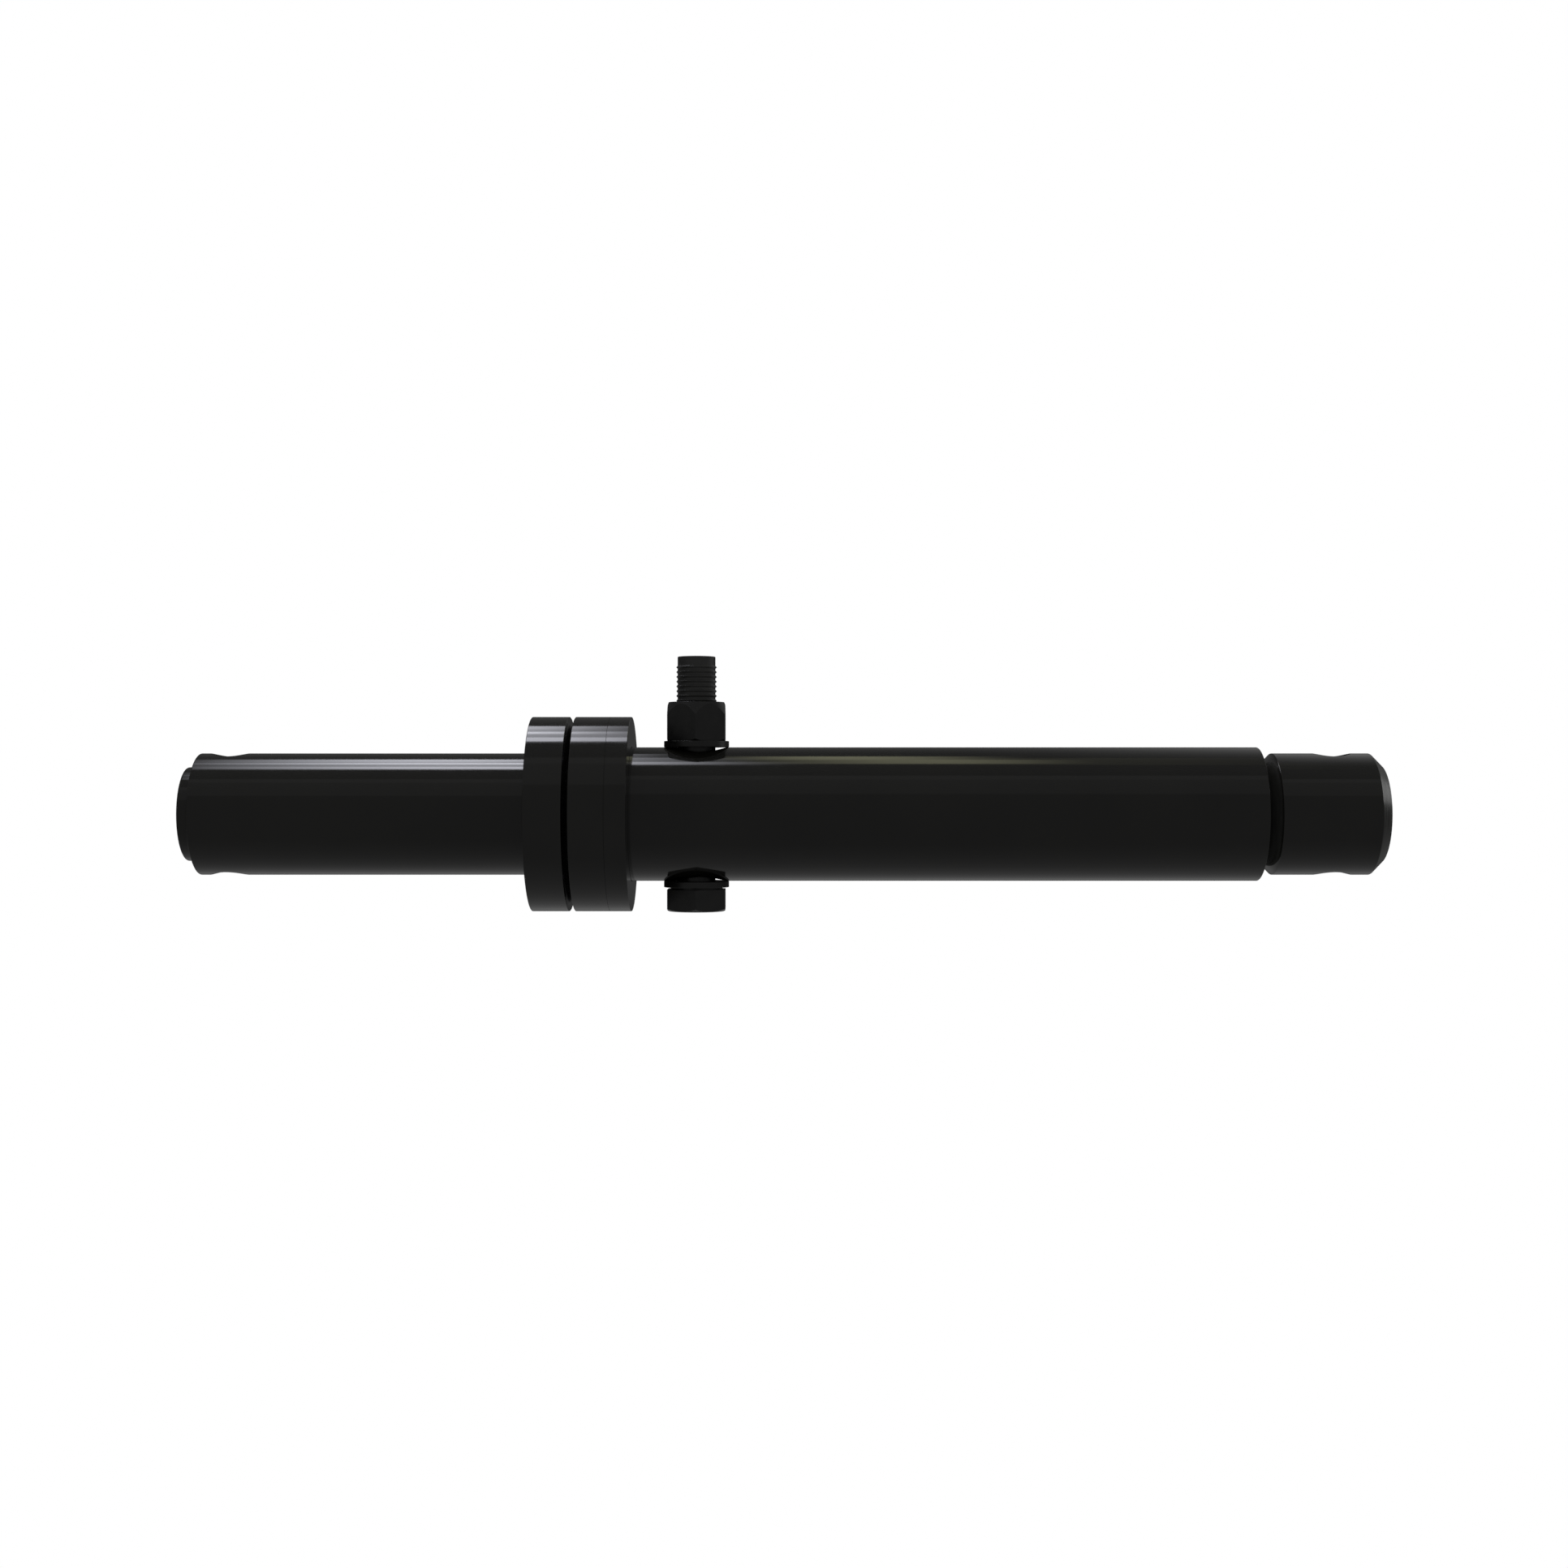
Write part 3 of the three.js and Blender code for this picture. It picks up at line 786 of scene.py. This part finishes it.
def barrel_flange():
    """The disc on the barrel, with a tapped hole for each flange screw."""
    low, high = extent("barrel_flange")
    disc = turned([
        (low.x, FLANGE_BORE), (low.x, high.z, SEAM_EDGE), (high.x, high.z), (high.x, FLANGE_BORE),
    ])
    mouth_radius = TAP_RADIUS + TAP_MOUTH
    floor = high.x - TAP_FLOOR
    tap = [
        (low.x - OVERCUT, 0), (low.x - OVERCUT, mouth_radius), (low.x, mouth_radius),
        (low.x + TAP_MOUTH, TAP_RADIUS), (floor, TAP_RADIUS), (floor + DRILL_POINT, 0),
    ]
    return cut(disc, *(bored(tap, "X", at) for at in screw_places()))


def gland_flange():
    """The disc that seats the bush and the wiper, with a stepped hole for each flange screw."""
    low, high = extent("gland_flange")
    face, back = low.x, high.x
    bush_seat = back - BUSH_SEAT_DEPTH
    wiper_seat = face + WIPER_SEAT_DEPTH
    disc = turned([
        (face, high.z), (back, high.z, SEAM_EDGE), (back, BUSH_SEAT_RADIUS),
        (bush_seat, BUSH_SEAT_RADIUS), (bush_seat, GLAND_THROAT), (wiper_seat, GLAND_THROAT),
        (wiper_seat, WIPER_SEAT_RADIUS), (face, WIPER_SEAT_RADIUS),
    ])
    floor = face + COUNTERBORE_DEPTH
    hole = [
        *countersunk(face, COUNTERBORE_RADIUS, HOLE_MOUTH), (floor, COUNTERBORE_RADIUS),
        (floor, SCREW_HOLE_RADIUS), (back + OVERCUT, SCREW_HOLE_RADIUS), (back + OVERCUT, 0),
    ]
    return cut(disc, *(bored(hole, "X", at) for at in screw_places()))


def guide_bush():
    """A plain bush with two grease grooves in its bore."""
    low, high = extent("guide_bush")
    middle = (low.x + high.x) / 2
    outline = [
        (low.x, RUNNING_RADIUS, BUSH_LEAD), (low.x, high.z), (high.x, high.z),
        (high.x, RUNNING_RADIUS, BUSH_LEAD),
    ]
    for centre in (middle + BUSH_GROOVE_OFFSET, middle - BUSH_GROOVE_OFFSET):
        outline.append((centre + BUSH_GROOVE_HALF, RUNNING_RADIUS, FINE_EDGE))
        outline.append((centre, RUNNING_RADIUS + BUSH_GROOVE_DEPTH, WIDE_EDGE))
        outline.append((centre - BUSH_GROOVE_HALF, RUNNING_RADIUS, FINE_EDGE))
    return turned(outline)


def wiper_ring():
    """A ring whose thin outer lip wipes the plunger."""
    low, high = extent("wiper_ring")
    face, back = low.x, high.x
    root = face + WIPER_LIP_HEIGHT
    return turned([
        (face, RUNNING_RADIUS, WIPER_LIP_EDGE),
        (face, RUNNING_RADIUS + WIPER_LIP_TIP, FINE_EDGE),
        (root, RUNNING_RADIUS + WIPER_LIP_ROOT), (root, high.z), (back, high.z),
        (back, RUNNING_RADIUS + WIPER_RELIEF),
    ], edge=SOFT_EDGE)


def flange_screw(node, at):
    """A socket cap screw: a knurled head, a hexagon socket and a threaded shank."""
    top, tip = (corner.x for corner in extent(node))
    seat = top + SCREW_HEAD
    bevel_along, bevel_across = SCREW_HEAD_BEVEL
    head = extruded(knurl(SCREW_HEAD_RADIUS), "X", top, seat, at, 0)
    common(head, turned([
        (top, 0), (top, SCREW_HEAD_RADIUS - bevel_across, 0.4),
        (top + bevel_along, SCREW_HEAD_RADIUS, SMALL_EDGE), (seat, SCREW_HEAD_RADIUS), (seat, 0),
    ], "X", at, FINE_SIDES))
    start = tip - SCREW_TIP - SCREW_TURNS * SCREW_PITCH
    root = SCREW_RADIUS - SCREW_THREAD_DEPTH
    point_along, point_across = SCREW_POINT
    shank = turned([
        (seat - OVERLAP, 0), (seat - OVERLAP, SCREW_RADIUS), (start - SCREW_RUNOUT, SCREW_RADIUS),
        *thread(start, SCREW_TURNS, SCREW_PITCH, root, SCREW_RADIUS),
        (tip - point_along, root), (tip, root - point_across), (tip, 0),
    ], "X", at, FINE_SIDES, FINE_EDGE)
    floor = top + SCREW_SOCKET_DEPTH
    socket = extruded(six_sided(SCREW_SOCKET), "X", top - OVERCUT, floor, at, FINE_EDGE)
    drill = bored([
        (top - OVERCUT, 0), (top - OVERCUT, 3.2), (top + 0.3, 2.5), (floor, 2.2),
        (floor + DRILL_POINT, 0),
    ], "X", at)
    return cut(join(head, shank), socket, drill)


def base_blank():
    """The closed end as turned: its spigot, the weld groove and the chamfer."""
    low, high = extent("base_plug")
    start, end = low.x, high.x
    shoulder = GROOVE_LIP - GROOVE_DEPTH
    return turned([
        (start, 0), (start, high.z - SPIGOT_BEVEL), (start + SPIGOT_BEVEL, high.z),
        (shoulder, high.z, 0), (shoulder, PLUNGER_RADIUS - GROOVE_DEPTH, 0.8),
        (GROOVE_LIP, PLUNGER_RADIUS), (end - BASE_CHAMFER, PLUNGER_RADIUS, 0.7),
        (end, PLUNGER_RADIUS - BASE_CHAMFER, WIDE_EDGE), (end, 0),
    ])


def base_plug():
    """The closed end, with its pin eye, port and oilway."""
    start = extent("base_plug")[0].x
    at = (PORT_X, 0, 0)
    outside = PLUNGER_RADIUS + PORT_RISE
    floor = PORT_FLOOR - PORT_HOLE_DEPTH
    spot = [
        (PORT_FLOOR, 0), (PORT_FLOOR, PORT_SPOT_RADIUS), (outside, PORT_SPOT_RADIUS), (outside, 0),
    ]
    hole = [
        (0, 0), (0, OILWAY_RADIUS), (floor, OILWAY_RADIUS), (floor, PORT_HOLE_RADIUS),
        (outside, PORT_HOLE_RADIUS), (outside, 0),
    ]
    oilway_end = PORT_X + OILWAY_RADIUS
    oilway = [
        *countersunk(start, OILWAY_RADIUS, HOLE_MOUTH),
        (oilway_end - OILWAY_POINT, OILWAY_RADIUS), (oilway_end, 0),
    ]
    eye = crossing(circle(0, PIN_EYE_RADIUS), PLUNGER_RADIUS, edge=PIN_EYE_EDGE)
    return cut(base_blank(), eye, bored(spot, "Y", at), bored(hole, "Y", at), bored(oilway))


# ---- the cross bolt ----


def cross_bolt():
    """The bolt right across the barrel. Its head's corners are cut to a cone underneath."""
    base, tip = (corner.z for corner in extent("cross_bolt"))
    at = (BOLT_X, 0, 0)
    clamp = base + HEAD_HEIGHT
    face = clamp - HEAD_FACE
    head = hexagon(HEX_FLATS, base, face, "Z", at, [
        (base - TRIM_SKIN, 0), (base - TRIM_SKIN, CONE_START, 0.8),
        (base + HEAD_CUT, HEX_CLEAR, SOFT_EDGE), (face, HEX_CLEAR), (face, 0),
    ])
    land = tip - BOLT_TIP_LAND
    start = land - THREAD_TURNS * THREAD_PITCH + (THREAD_PITCH - THREAD_RIDGE) / 2
    shank = turned([
        (face - OVERLAP, 0), (face - OVERLAP, HEAD_FACE_RADIUS), (clamp, HEAD_FACE_RADIUS, 0.15),
        (clamp, BOLT_RADIUS, SOFT_EDGE),
        *thread(start, THREAD_TURNS, THREAD_PITCH, BOLT_RADIUS, THREAD_RADIUS, THREAD_RIDGE),
        (tip, BOLT_RADIUS, 0.4), (tip, 0),
    ], "Z", at, BOLT_SIDES)
    return join(head, shank)


def lock_nut():
    """An all-metal lock nut. The cone of its crown cuts arcs into its flats."""
    base, top = (corner.z for corner in extent("lock_nut"))
    at = (BOLT_X, 0, 0)
    nut = hexagon(HEX_FLATS, base, top, "Z", at, [
        (base - TRIM_SKIN, 0), (base - TRIM_SKIN, HEX_CORNER - NUT_BASE_CUT),
        (base + 1, HEX_CLEAR, FINE_EDGE), (top - NUT_CROWN, HEX_CLEAR, 0),
        (top + TRIM_SKIN, CONE_START, SMALL_EDGE), (top + TRIM_SKIN, 0),
    ])
    hole = THREAD_RADIUS + NUT_CLEARANCE
    lower = countersunk(base, hole, NUT_MOUTH)
    upper = countersunk(top, hole, NUT_MOUTH, -1)
    return cut(nut, bored(lower + upper[::-1], "Z", at, BOLT_SIDES))


def washer(node):
    """A flat washer on the cross bolt."""
    low, high = extent(node)
    radius = (high.x - low.x) / 2
    return ring(WASHER_HOLE, radius, low.z, high.z, "Z", (BOLT_X, 0, 0), BOLT_SIDES, SOFT_EDGE)


# ---- the hose port ----


def port_fitting():
    """A hose adapter: a straight thread, a hexagon, and a threaded nose with a flare."""
    start, nose = (corner.y for corner in extent("port_fitting"))
    at = (PORT_X, 0, 0)
    hex_start, hex_end = FITTING_HEX
    root = PORT_THREAD_RADIUS - PORT_THREAD_DEPTH
    collar = root + 0.4
    row = (PORT_THREAD_PITCH, root, PORT_THREAD_RADIUS)
    body = turned([
        (start, FITTING_BORE), (start, root - 0.4), (start + 0.6, root),
        *thread(start + 1, FITTING_INNER_TURNS, *row),
        (hex_start - 1, root), (hex_start + 1, collar), (hex_end, collar), (hex_end, root),
        *thread(hex_end + FITTING_RUNOUT, FITTING_OUTER_TURNS, *row),
        (nose - 2.6, root), (nose, FITTING_BORE + 2.4), (nose, FITTING_BORE + 0.5),
        (nose - 1, FITTING_BORE),
    ], "Y", at, FINE_SIDES, SMALL_EDGE)
    corner = FITTING_FLATS / math.sqrt(3)
    trim = [
        (hex_start, root - 1), (hex_start, corner - FITTING_CUT), (hex_start + 0.9, corner),
        (hex_end - 0.9, corner), (hex_end, corner - FITTING_CUT), (hex_end, root - 1),
    ]
    grip = hexagon(FITTING_FLATS, hex_start, hex_end, "Y", at, trim, FINE_SIDES, FINE_EDGE)
    return join(body, grip)


def port_seal_washer():
    """The soft washer between the hose adapter and the base plug."""
    low, high = extent("port_seal_washer")
    outer = (high.x - low.x) / 2
    return ring(PORT_HOLE_RADIUS, outer, low.y, high.y, "Y", (PORT_X, 0, 0), FINE_SIDES, WIDE_EDGE)


# ---- the plunger and what slides with it ----


def plunger_tube():
    """The inner tube, with the two slots that the cross bolt stands in."""
    low, high = extent("plunger_tube")
    tube = turned([
        (low.x, PLUNGER_BORE, 0), (low.x, high.z, 0), (high.x, high.z), (high.x, PLUNGER_BORE),
    ])
    slots = crossing(stadium(*SLOT_ENDS, SLOT_HALF_WIDTH), high.z, edge=WIDE_EDGE)
    lock_holes = crossing(circle(LOCK_SCREW_X, LOCK_HOLE_RADIUS), high.z, "Y")
    return cut(tube, slots, lock_holes)


def rod_eye():
    """The plunger's solid end, welded on and ground flush, so the tube hides its joint."""
    low, high = extent("rod_eye")
    eye_start = extent("plunger_tube")[0].x
    end = low.x + ROD_DISC
    eye = turned([
        (low.x, 0), (low.x, SPIGOT_RADIUS, 1.0), (end, SPIGOT_RADIUS, SMALL_EDGE),
        (end, PLUNGER_RADIUS, 0.6), (eye_start, PLUNGER_RADIUS, 0), (eye_start, SPIGOT_RADIUS, 0),
        (high.x - SPIGOT_BEVEL, SPIGOT_RADIUS), (high.x, SPIGOT_RADIUS - SPIGOT_BEVEL),
        (high.x, 0),
    ])
    path = circle(-PIN_CENTRES, PIN_EYE_RADIUS)
    return cut(eye, crossing(path, PLUNGER_RADIUS, edge=PIN_EYE_EDGE))


def stop_flange():
    """The disc on the plunger that meets the gland flange."""
    low, high = extent("stop_flange")
    return ring(PLUNGER_RADIUS + STOP_CLEARANCE, high.z, low.x, high.x)


def grooved(groove, outer):
    """The corners of a square groove in an outline, from its start to its end."""
    start, end, floor = groove
    corners = [(start, outer), (start, floor), (end, floor), (end, outer)]
    return [(*corner, SMALL_EDGE) for corner in corners]


def piston():
    """The plunger's inner end, with its grooves and two holes for its set screws."""
    start, face = (corner.x for corner in extent("piston"))
    body = turned([
        (start, 0), (start, SPIGOT_RADIUS - SPIGOT_BEVEL), (start + SPIGOT_BEVEL, SPIGOT_RADIUS),
        *grooved(O_RING_GROOVE, SPIGOT_RADIUS),
        (PISTON_SHOULDER, SPIGOT_RADIUS, 0.4), (PISTON_SHOULDER, PISTON_RADIUS),
        *grooved(WEAR_GROOVES[0], PISTON_RADIUS),
        *grooved(SEAL_GROOVE, PISTON_RADIUS),
        *grooved(WEAR_GROOVES[1], PISTON_RADIUS),
        (face - PISTON_BEVEL, PISTON_RADIUS), (face, PISTON_RADIUS - PISTON_BEVEL), (face, 0),
    ])
    for side in (1, -1):
        first, last = sorted((side * LOCK_HOLE_FLOOR, side * LOCK_HOLE_REACH))
        hole = [(first, 0), (first, LOCK_HOLE_RADIUS), (last, LOCK_HOLE_RADIUS), (last, 0)]
        cut(body, bored(hole, "Y", (LOCK_SCREW_X, 0, 0)))
    return body


def piston_seal():
    """A U-cup whose open side faces the oil."""
    low, high = extent("piston_seal")
    inner = SEAL_GROOVE[2] + GROOVE_CLEARANCE
    outer = high.z
    middle = (inner + outer) / 2
    lip = high.x - SEAL_LIP_EDGE
    return turned([
        (low.x, inner), (low.x, outer, WIDE_EDGE), (high.x, outer, SMALL_EDGE),
        (lip, middle + SEAL_MOUTH), (high.x - SEAL_CUP_DEPTH, middle, 0.6),
        (lip, middle - SEAL_MOUTH), (high.x, inner, SMALL_EDGE),
    ])


def wear_ring(node, groove):
    """A split band. Its joint is sawn on the slant at the top."""
    low, high = extent(node)
    band = ring(groove[2] + GROOVE_CLEARANCE, high.z, low.x, high.x, edge=WEAR_EDGE)
    middle = (low.x + high.x) / 2
    reach = high.x - low.x
    saw = [
        (middle - reach, -reach - SAW_HALF), (middle - reach, -reach + SAW_HALF),
        (middle + reach, reach + SAW_HALF), (middle + reach, reach - SAW_HALF),
    ]
    return cut(band, extruded(saw, "Z", *SAW_HEIGHTS, edge=0))


def piston_o_ring():
    """A ring of round section."""
    middle = sum(corner.x for corner in extent("piston_o_ring")) / 2
    section = []
    for step in range(O_RING_STEPS):
        angle = 2 * math.pi * step / O_RING_STEPS
        along = middle + O_RING_SECTION * math.cos(angle)
        section.append((along, O_RING_CENTRE + O_RING_SECTION * math.sin(angle)))
    return turned(section, edge=0)


def lock_screw(node):
    """A headless socket screw that pins the piston to the tube."""
    low, high = extent(node)
    side = 1 if high.y > 0 else -1
    inner, outer = sorted((abs(low.y), abs(high.y)))
    at = (LOCK_SCREW_X, 0, 0)
    root = LOCK_SCREW_RADIUS - LOCK_SCREW_THREAD_DEPTH
    outline = [
        (inner, 0), (inner, root - 0.5), (inner + 0.6, root),
        *thread(inner + 0.7, LOCK_SCREW_TURNS, LOCK_SCREW_PITCH, root, LOCK_SCREW_RADIUS),
        (outer - 0.3, root), (outer, root - 0.2), (outer, 0),
    ]
    outline = [(side * along, *rest) for along, *rest in outline]
    screw = turned(outline, "Y", at, FINE_SIDES, FINE_EDGE)
    ends = sorted((side * (outer - LOCK_SOCKET_DEPTH), side * (outer + OVERCUT)))
    return cut(screw, extruded(six_sided(LOCK_SOCKET), "Y", *ends, at, FINE_EDGE))


def build_barrel():
    fit(barrel_tube(), "barrel_tube", "barrel", "black_paint")
    fit(barrel_flange(), "barrel_flange", "barrel", "black_paint")
    fit(gland_flange(), "gland_flange", "barrel", "black_paint")
    fit(guide_bush(), "guide_bush", "barrel", "bronze")
    fit(wiper_ring(), "wiper_ring", "barrel", "urethane")
    for index, at in enumerate(screw_places()):
        node = f"flange_screw_{index + 1}"
        fit(flange_screw(node, at), node, "barrel", "black_steel")
    fit(base_plug(), "base_plug", "barrel", "black_paint")
    fit(cross_bolt(), "cross_bolt", "barrel", "black_steel")
    fit(lock_nut(), "lock_nut", "barrel", "black_steel", NUT_SHARP_ANGLE)
    for node in ("upper_washer", "lower_washer"):
        fit(washer(node), node, "barrel", "black_steel")
    fit(port_fitting(), "port_fitting", "barrel", "bare_steel")
    fit(port_seal_washer(), "port_seal_washer", "barrel", "rubber")


def build_plunger():
    fit(plunger_tube(), "plunger_tube", "plunger", "black_paint")
    fit(rod_eye(), "rod_eye", "plunger", "black_paint")
    fit(stop_flange(), "stop_flange", "plunger", "black_paint")
    fit(piston(), "piston", "plunger", "bare_steel")
    fit(piston_seal(), "piston_seal", "plunger", "urethane")
    for index, groove in enumerate(WEAR_GROOVES):
        node = f"piston_wear_ring_{index + 1}"
        fit(wear_ring(node, groove), node, "plunger", "bearing_resin")
    fit(piston_o_ring(), "piston_o_ring", "plunger", "rubber")
    for node in ("piston_lock_screw_1", "piston_lock_screw_2"):
        fit(lock_screw(node), node, "plunger", "black_steel")


# ---- the studio ----

CAMERA_PLACE = (-0.28633, -1.1401, 0.01573)
CAMERA_LENS = 50.0
FLOOR_HEIGHT = -0.3
FLOOR_SIZE = 120.0
PANEL_HEIGHT = 1.0
PANEL_STEP = 0.002  # between overlapping panels, so that none lies in another

COOL = (0.905, 0.912, 1.0)
WARM = (1.0, 0.99, 0.64)
NEUTRAL = (1.0, 1.0, 1.0)

BEYOND_BOTH_ENDS = ((-3.0, -2.0), (2.0, 3.0))  # fades that come clear of the ram

# Overhead panels: where each starts and ends in degrees over the ram, from 0 in front to 90
# above, its brightness and colour, and where along X it fades in and fades out.
OVERHEAD = {
    "key_wide": (93.2, 113.0, 4.0, COOL, (-0.95, -0.62), (-0.57, -0.30)),
    "key_back": (113.0, 126.0, 4.3, COOL, (-0.96, -0.64), (-0.62, -0.375)),
    "key_front": (93.9, 100.6, 4.0, COOL, (-0.93, -0.58), (-0.52, -0.25)),
    "key_middle": (107.6, 112.2, 4.2, COOL, (-0.96, -0.64), (-0.56, -0.42)),
    "key_rear": (118.0, 122.5, 0.8, COOL, (-0.96, -0.64), (-0.60, -0.45)),
    "key_edge": (91.2, 93.9, 0.7, COOL, (-0.93, -0.58), (-0.53, -0.24)),
    "spot_front": (95.5, 106.5, 1.15, WARM, (-0.38, -0.14), (-0.14, 0.03)),
    "spot_rear": (106.5, 117.0, 1.25, WARM, (-0.38, -0.24), (-0.22, -0.03)),
    "spot_halo": (93.0, 112.0, 0.1, WARM, (-0.30, -0.10), (0.0, 0.35)),
    "fill_low": (35.0, 61.0, 0.055, NEUTRAL, *BEYOND_BOTH_ENDS),
    "fill_high": (61.0, 69.0, 0.10, NEUTRAL, *BEYOND_BOTH_ENDS),
}

SIDE_PANEL_PLACE = (1.07, 0.44, 0.275)
SIDE_PANEL_SIZE = (0.60, 0.24)
SIDE_PANEL_GLOW = 1.4

# The room's brightness by direction. Each row says between which shares of the direction to the
# right, to the back or up it changes, and its value at both.
GROUND = (-0.6, 1.0, 0.18, 0.34)
HORIZON = (-0.2, 0.5, 0.18, 0.055)
SKY = (-0.2, 0.7, 0.18, 0.10)
GLOW_RIGHT = (0.08, 0.32, 0.0, 0.33)
GLOW_BACK = (0.15, 0.75, 0.0, 1.0)
GLOW_UP = (0.15, 0.45, 0.0, 1.0)
GROUND_EDGE = (-0.52, -0.12, 0.0, 1.0)
SKY_EDGE = (0.05, 0.35, 0.0, 1.0)
LEFT_SHADE = (-0.98, -0.93, 0.25, 1.0)


def panel(name, width, height):
    """A flat panel about its own origin, facing up."""
    x, y = width / 2, height / 2
    mesh = bpy.data.meshes.new(name)
    mesh.from_pydata([(-x, -y, 0), (x, -y, 0), (x, y, 0), (-x, y, 0)], [], [(0, 1, 2, 3)])
    made = bpy.data.objects.new(name, mesh)
    bpy.context.scene.collection.objects.link(made)
    return made


def new_nodes(name):
    """An empty material, its nodes and its output's surface socket."""
    made = bpy.data.materials.new(name)
    made.use_nodes = True
    made.node_tree.nodes.clear()
    nodes = Nodes(made.node_tree)
    return made, nodes, nodes.node("ShaderNodeOutputMaterial").inputs["Surface"]


def added_light(name, strength, color, fade_in, fade_out):
    """Light added to whatever is seen through the panel, fading in and out along X."""
    made, nodes, surface = new_nodes(name)
    along = nodes.parts(nodes.node("ShaderNodeNewGeometry").outputs["Position"])["X"]
    rise = nodes.faded(along, *fade_in, 0.0, strength)
    fall = nodes.faded(along, *fade_out, 1.0, 0.0)
    emission = nodes.node("ShaderNodeEmission")
    emission.inputs["Color"].default_value = (*color, 1)
    nodes.link(nodes.multiplied(rise, fall), emission.inputs["Strength"])
    clear = nodes.node("ShaderNodeBsdfTransparent")
    both = nodes.node("ShaderNodeAddShader")
    nodes.link(emission.outputs["Emission"], both.inputs[0])
    nodes.link(clear.outputs["BSDF"], both.inputs[1])
    nodes.link(both.outputs["Shader"], surface)
    return made


def overhead_panel(name, height, start, end, strength, color, fade_in, fade_out):
    """A level panel over the ram, from one angle over the top to another."""
    near, far = (height * math.tan(math.radians(degrees - 90)) for degrees in (start, end))
    left, right = fade_in[0], fade_out[1]
    made = panel(name, right - left, far - near)
    made.location = ((left + right) / 2, (near + far) / 2, height)
    made.data.materials.append(added_light(name, strength, color, fade_in, fade_out))
    made.visible_camera = False


def side_panel():
    """A low softbox off to the right, turned to face the base end."""
    made = panel("side_panel", *SIDE_PANEL_SIZE)
    made.location = SIDE_PANEL_PLACE
    made.rotation_euler = Vector(SIDE_PANEL_PLACE).to_track_quat("Z", "Y").to_euler()
    light = added_light("side_panel", SIDE_PANEL_GLOW, NEUTRAL, *BEYOND_BOTH_ENDS)
    made.data.materials.append(light)
    made.visible_camera = False


def pale_floor():
    """The floor: evenly pale to the camera, and left out of the ram's reflections."""
    floor = panel("floor", FLOOR_SIZE, FLOOR_SIZE)
    floor.location = (0, 0, FLOOR_HEIGHT)
    made, nodes, surface = new_nodes("floor")
    emission = nodes.node("ShaderNodeEmission")
    emission.inputs["Color"].default_value = (1, 1, 1, 1)
    nodes.link(emission.outputs["Emission"], surface)
    floor.data.materials.append(made)
    floor.visible_diffuse = False
    floor.visible_glossy = False


def room_brightness(nodes):
    """How bright the dim room is in each direction: a pale ground that is brighter towards
    the back, a darker band at the horizon, and a soft glow high at the back right."""
    right, back, up = nodes.parts(nodes.node("ShaderNodeTexCoord").outputs["Generated"])
    start, end, low, high = GROUND
    ground = nodes.between(back, low, high, start, end)
    glow = nodes.multiplied(nodes.faded(right, *GLOW_RIGHT), nodes.faded(back, *GLOW_BACK))
    glow = nodes.multiplied(glow, nodes.faded(up, *GLOW_UP))
    sky = nodes.calculated("ADD", nodes.faded(back, *SKY), glow)
    lower = nodes.mixed(nodes.faded(up, *GROUND_EDGE), ground, nodes.faded(back, *HORIZON))
    room = nodes.mixed(nodes.faded(up, *SKY_EDGE), lower, sky)
    return nodes.multiplied(room, nodes.faded(right, *LEFT_SHADE))


def surroundings():
    """A white backdrop for the camera, and the dim graded room for everything else."""
    world = bpy.data.worlds.new("studio")
    bpy.context.scene.world = world
    world.use_nodes = True
    world.node_tree.nodes.clear()
    nodes = Nodes(world.node_tree)
    dim = nodes.node("ShaderNodeBackground")
    nodes.link(room_brightness(nodes), dim.inputs["Strength"])
    white = nodes.node("ShaderNodeBackground")
    for background in (dim, white):
        background.inputs["Color"].default_value = (1, 1, 1, 1)
    mix = nodes.node("ShaderNodeMixShader")
    nodes.link(nodes.node("ShaderNodeLightPath").outputs["Is Camera Ray"], mix.inputs["Fac"])
    nodes.link(dim.outputs["Background"], mix.inputs[1])
    nodes.link(white.outputs["Background"], mix.inputs[2])
    nodes.link(mix.outputs["Shader"], nodes.node("ShaderNodeOutputWorld").inputs["Surface"])


def camera():
    data = bpy.data.cameras.new("camera")
    data.lens = CAMERA_LENS
    made = bpy.data.objects.new("camera", data)
    made.location = CAMERA_PLACE
    made.rotation_euler = (math.pi / 2, 0, 0)
    bpy.context.scene.collection.objects.link(made)
    bpy.context.scene.camera = made


def studio():
    camera()
    surroundings()
    pale_floor()
    side_panel()
    for index, (name, settings) in enumerate(OVERHEAD.items()):
        overhead_panel(name, PANEL_HEIGHT + index * PANEL_STEP, *settings)
    bpy.context.scene.view_settings.view_transform = "Standard"


build_barrel()
build_plunger()
studio()
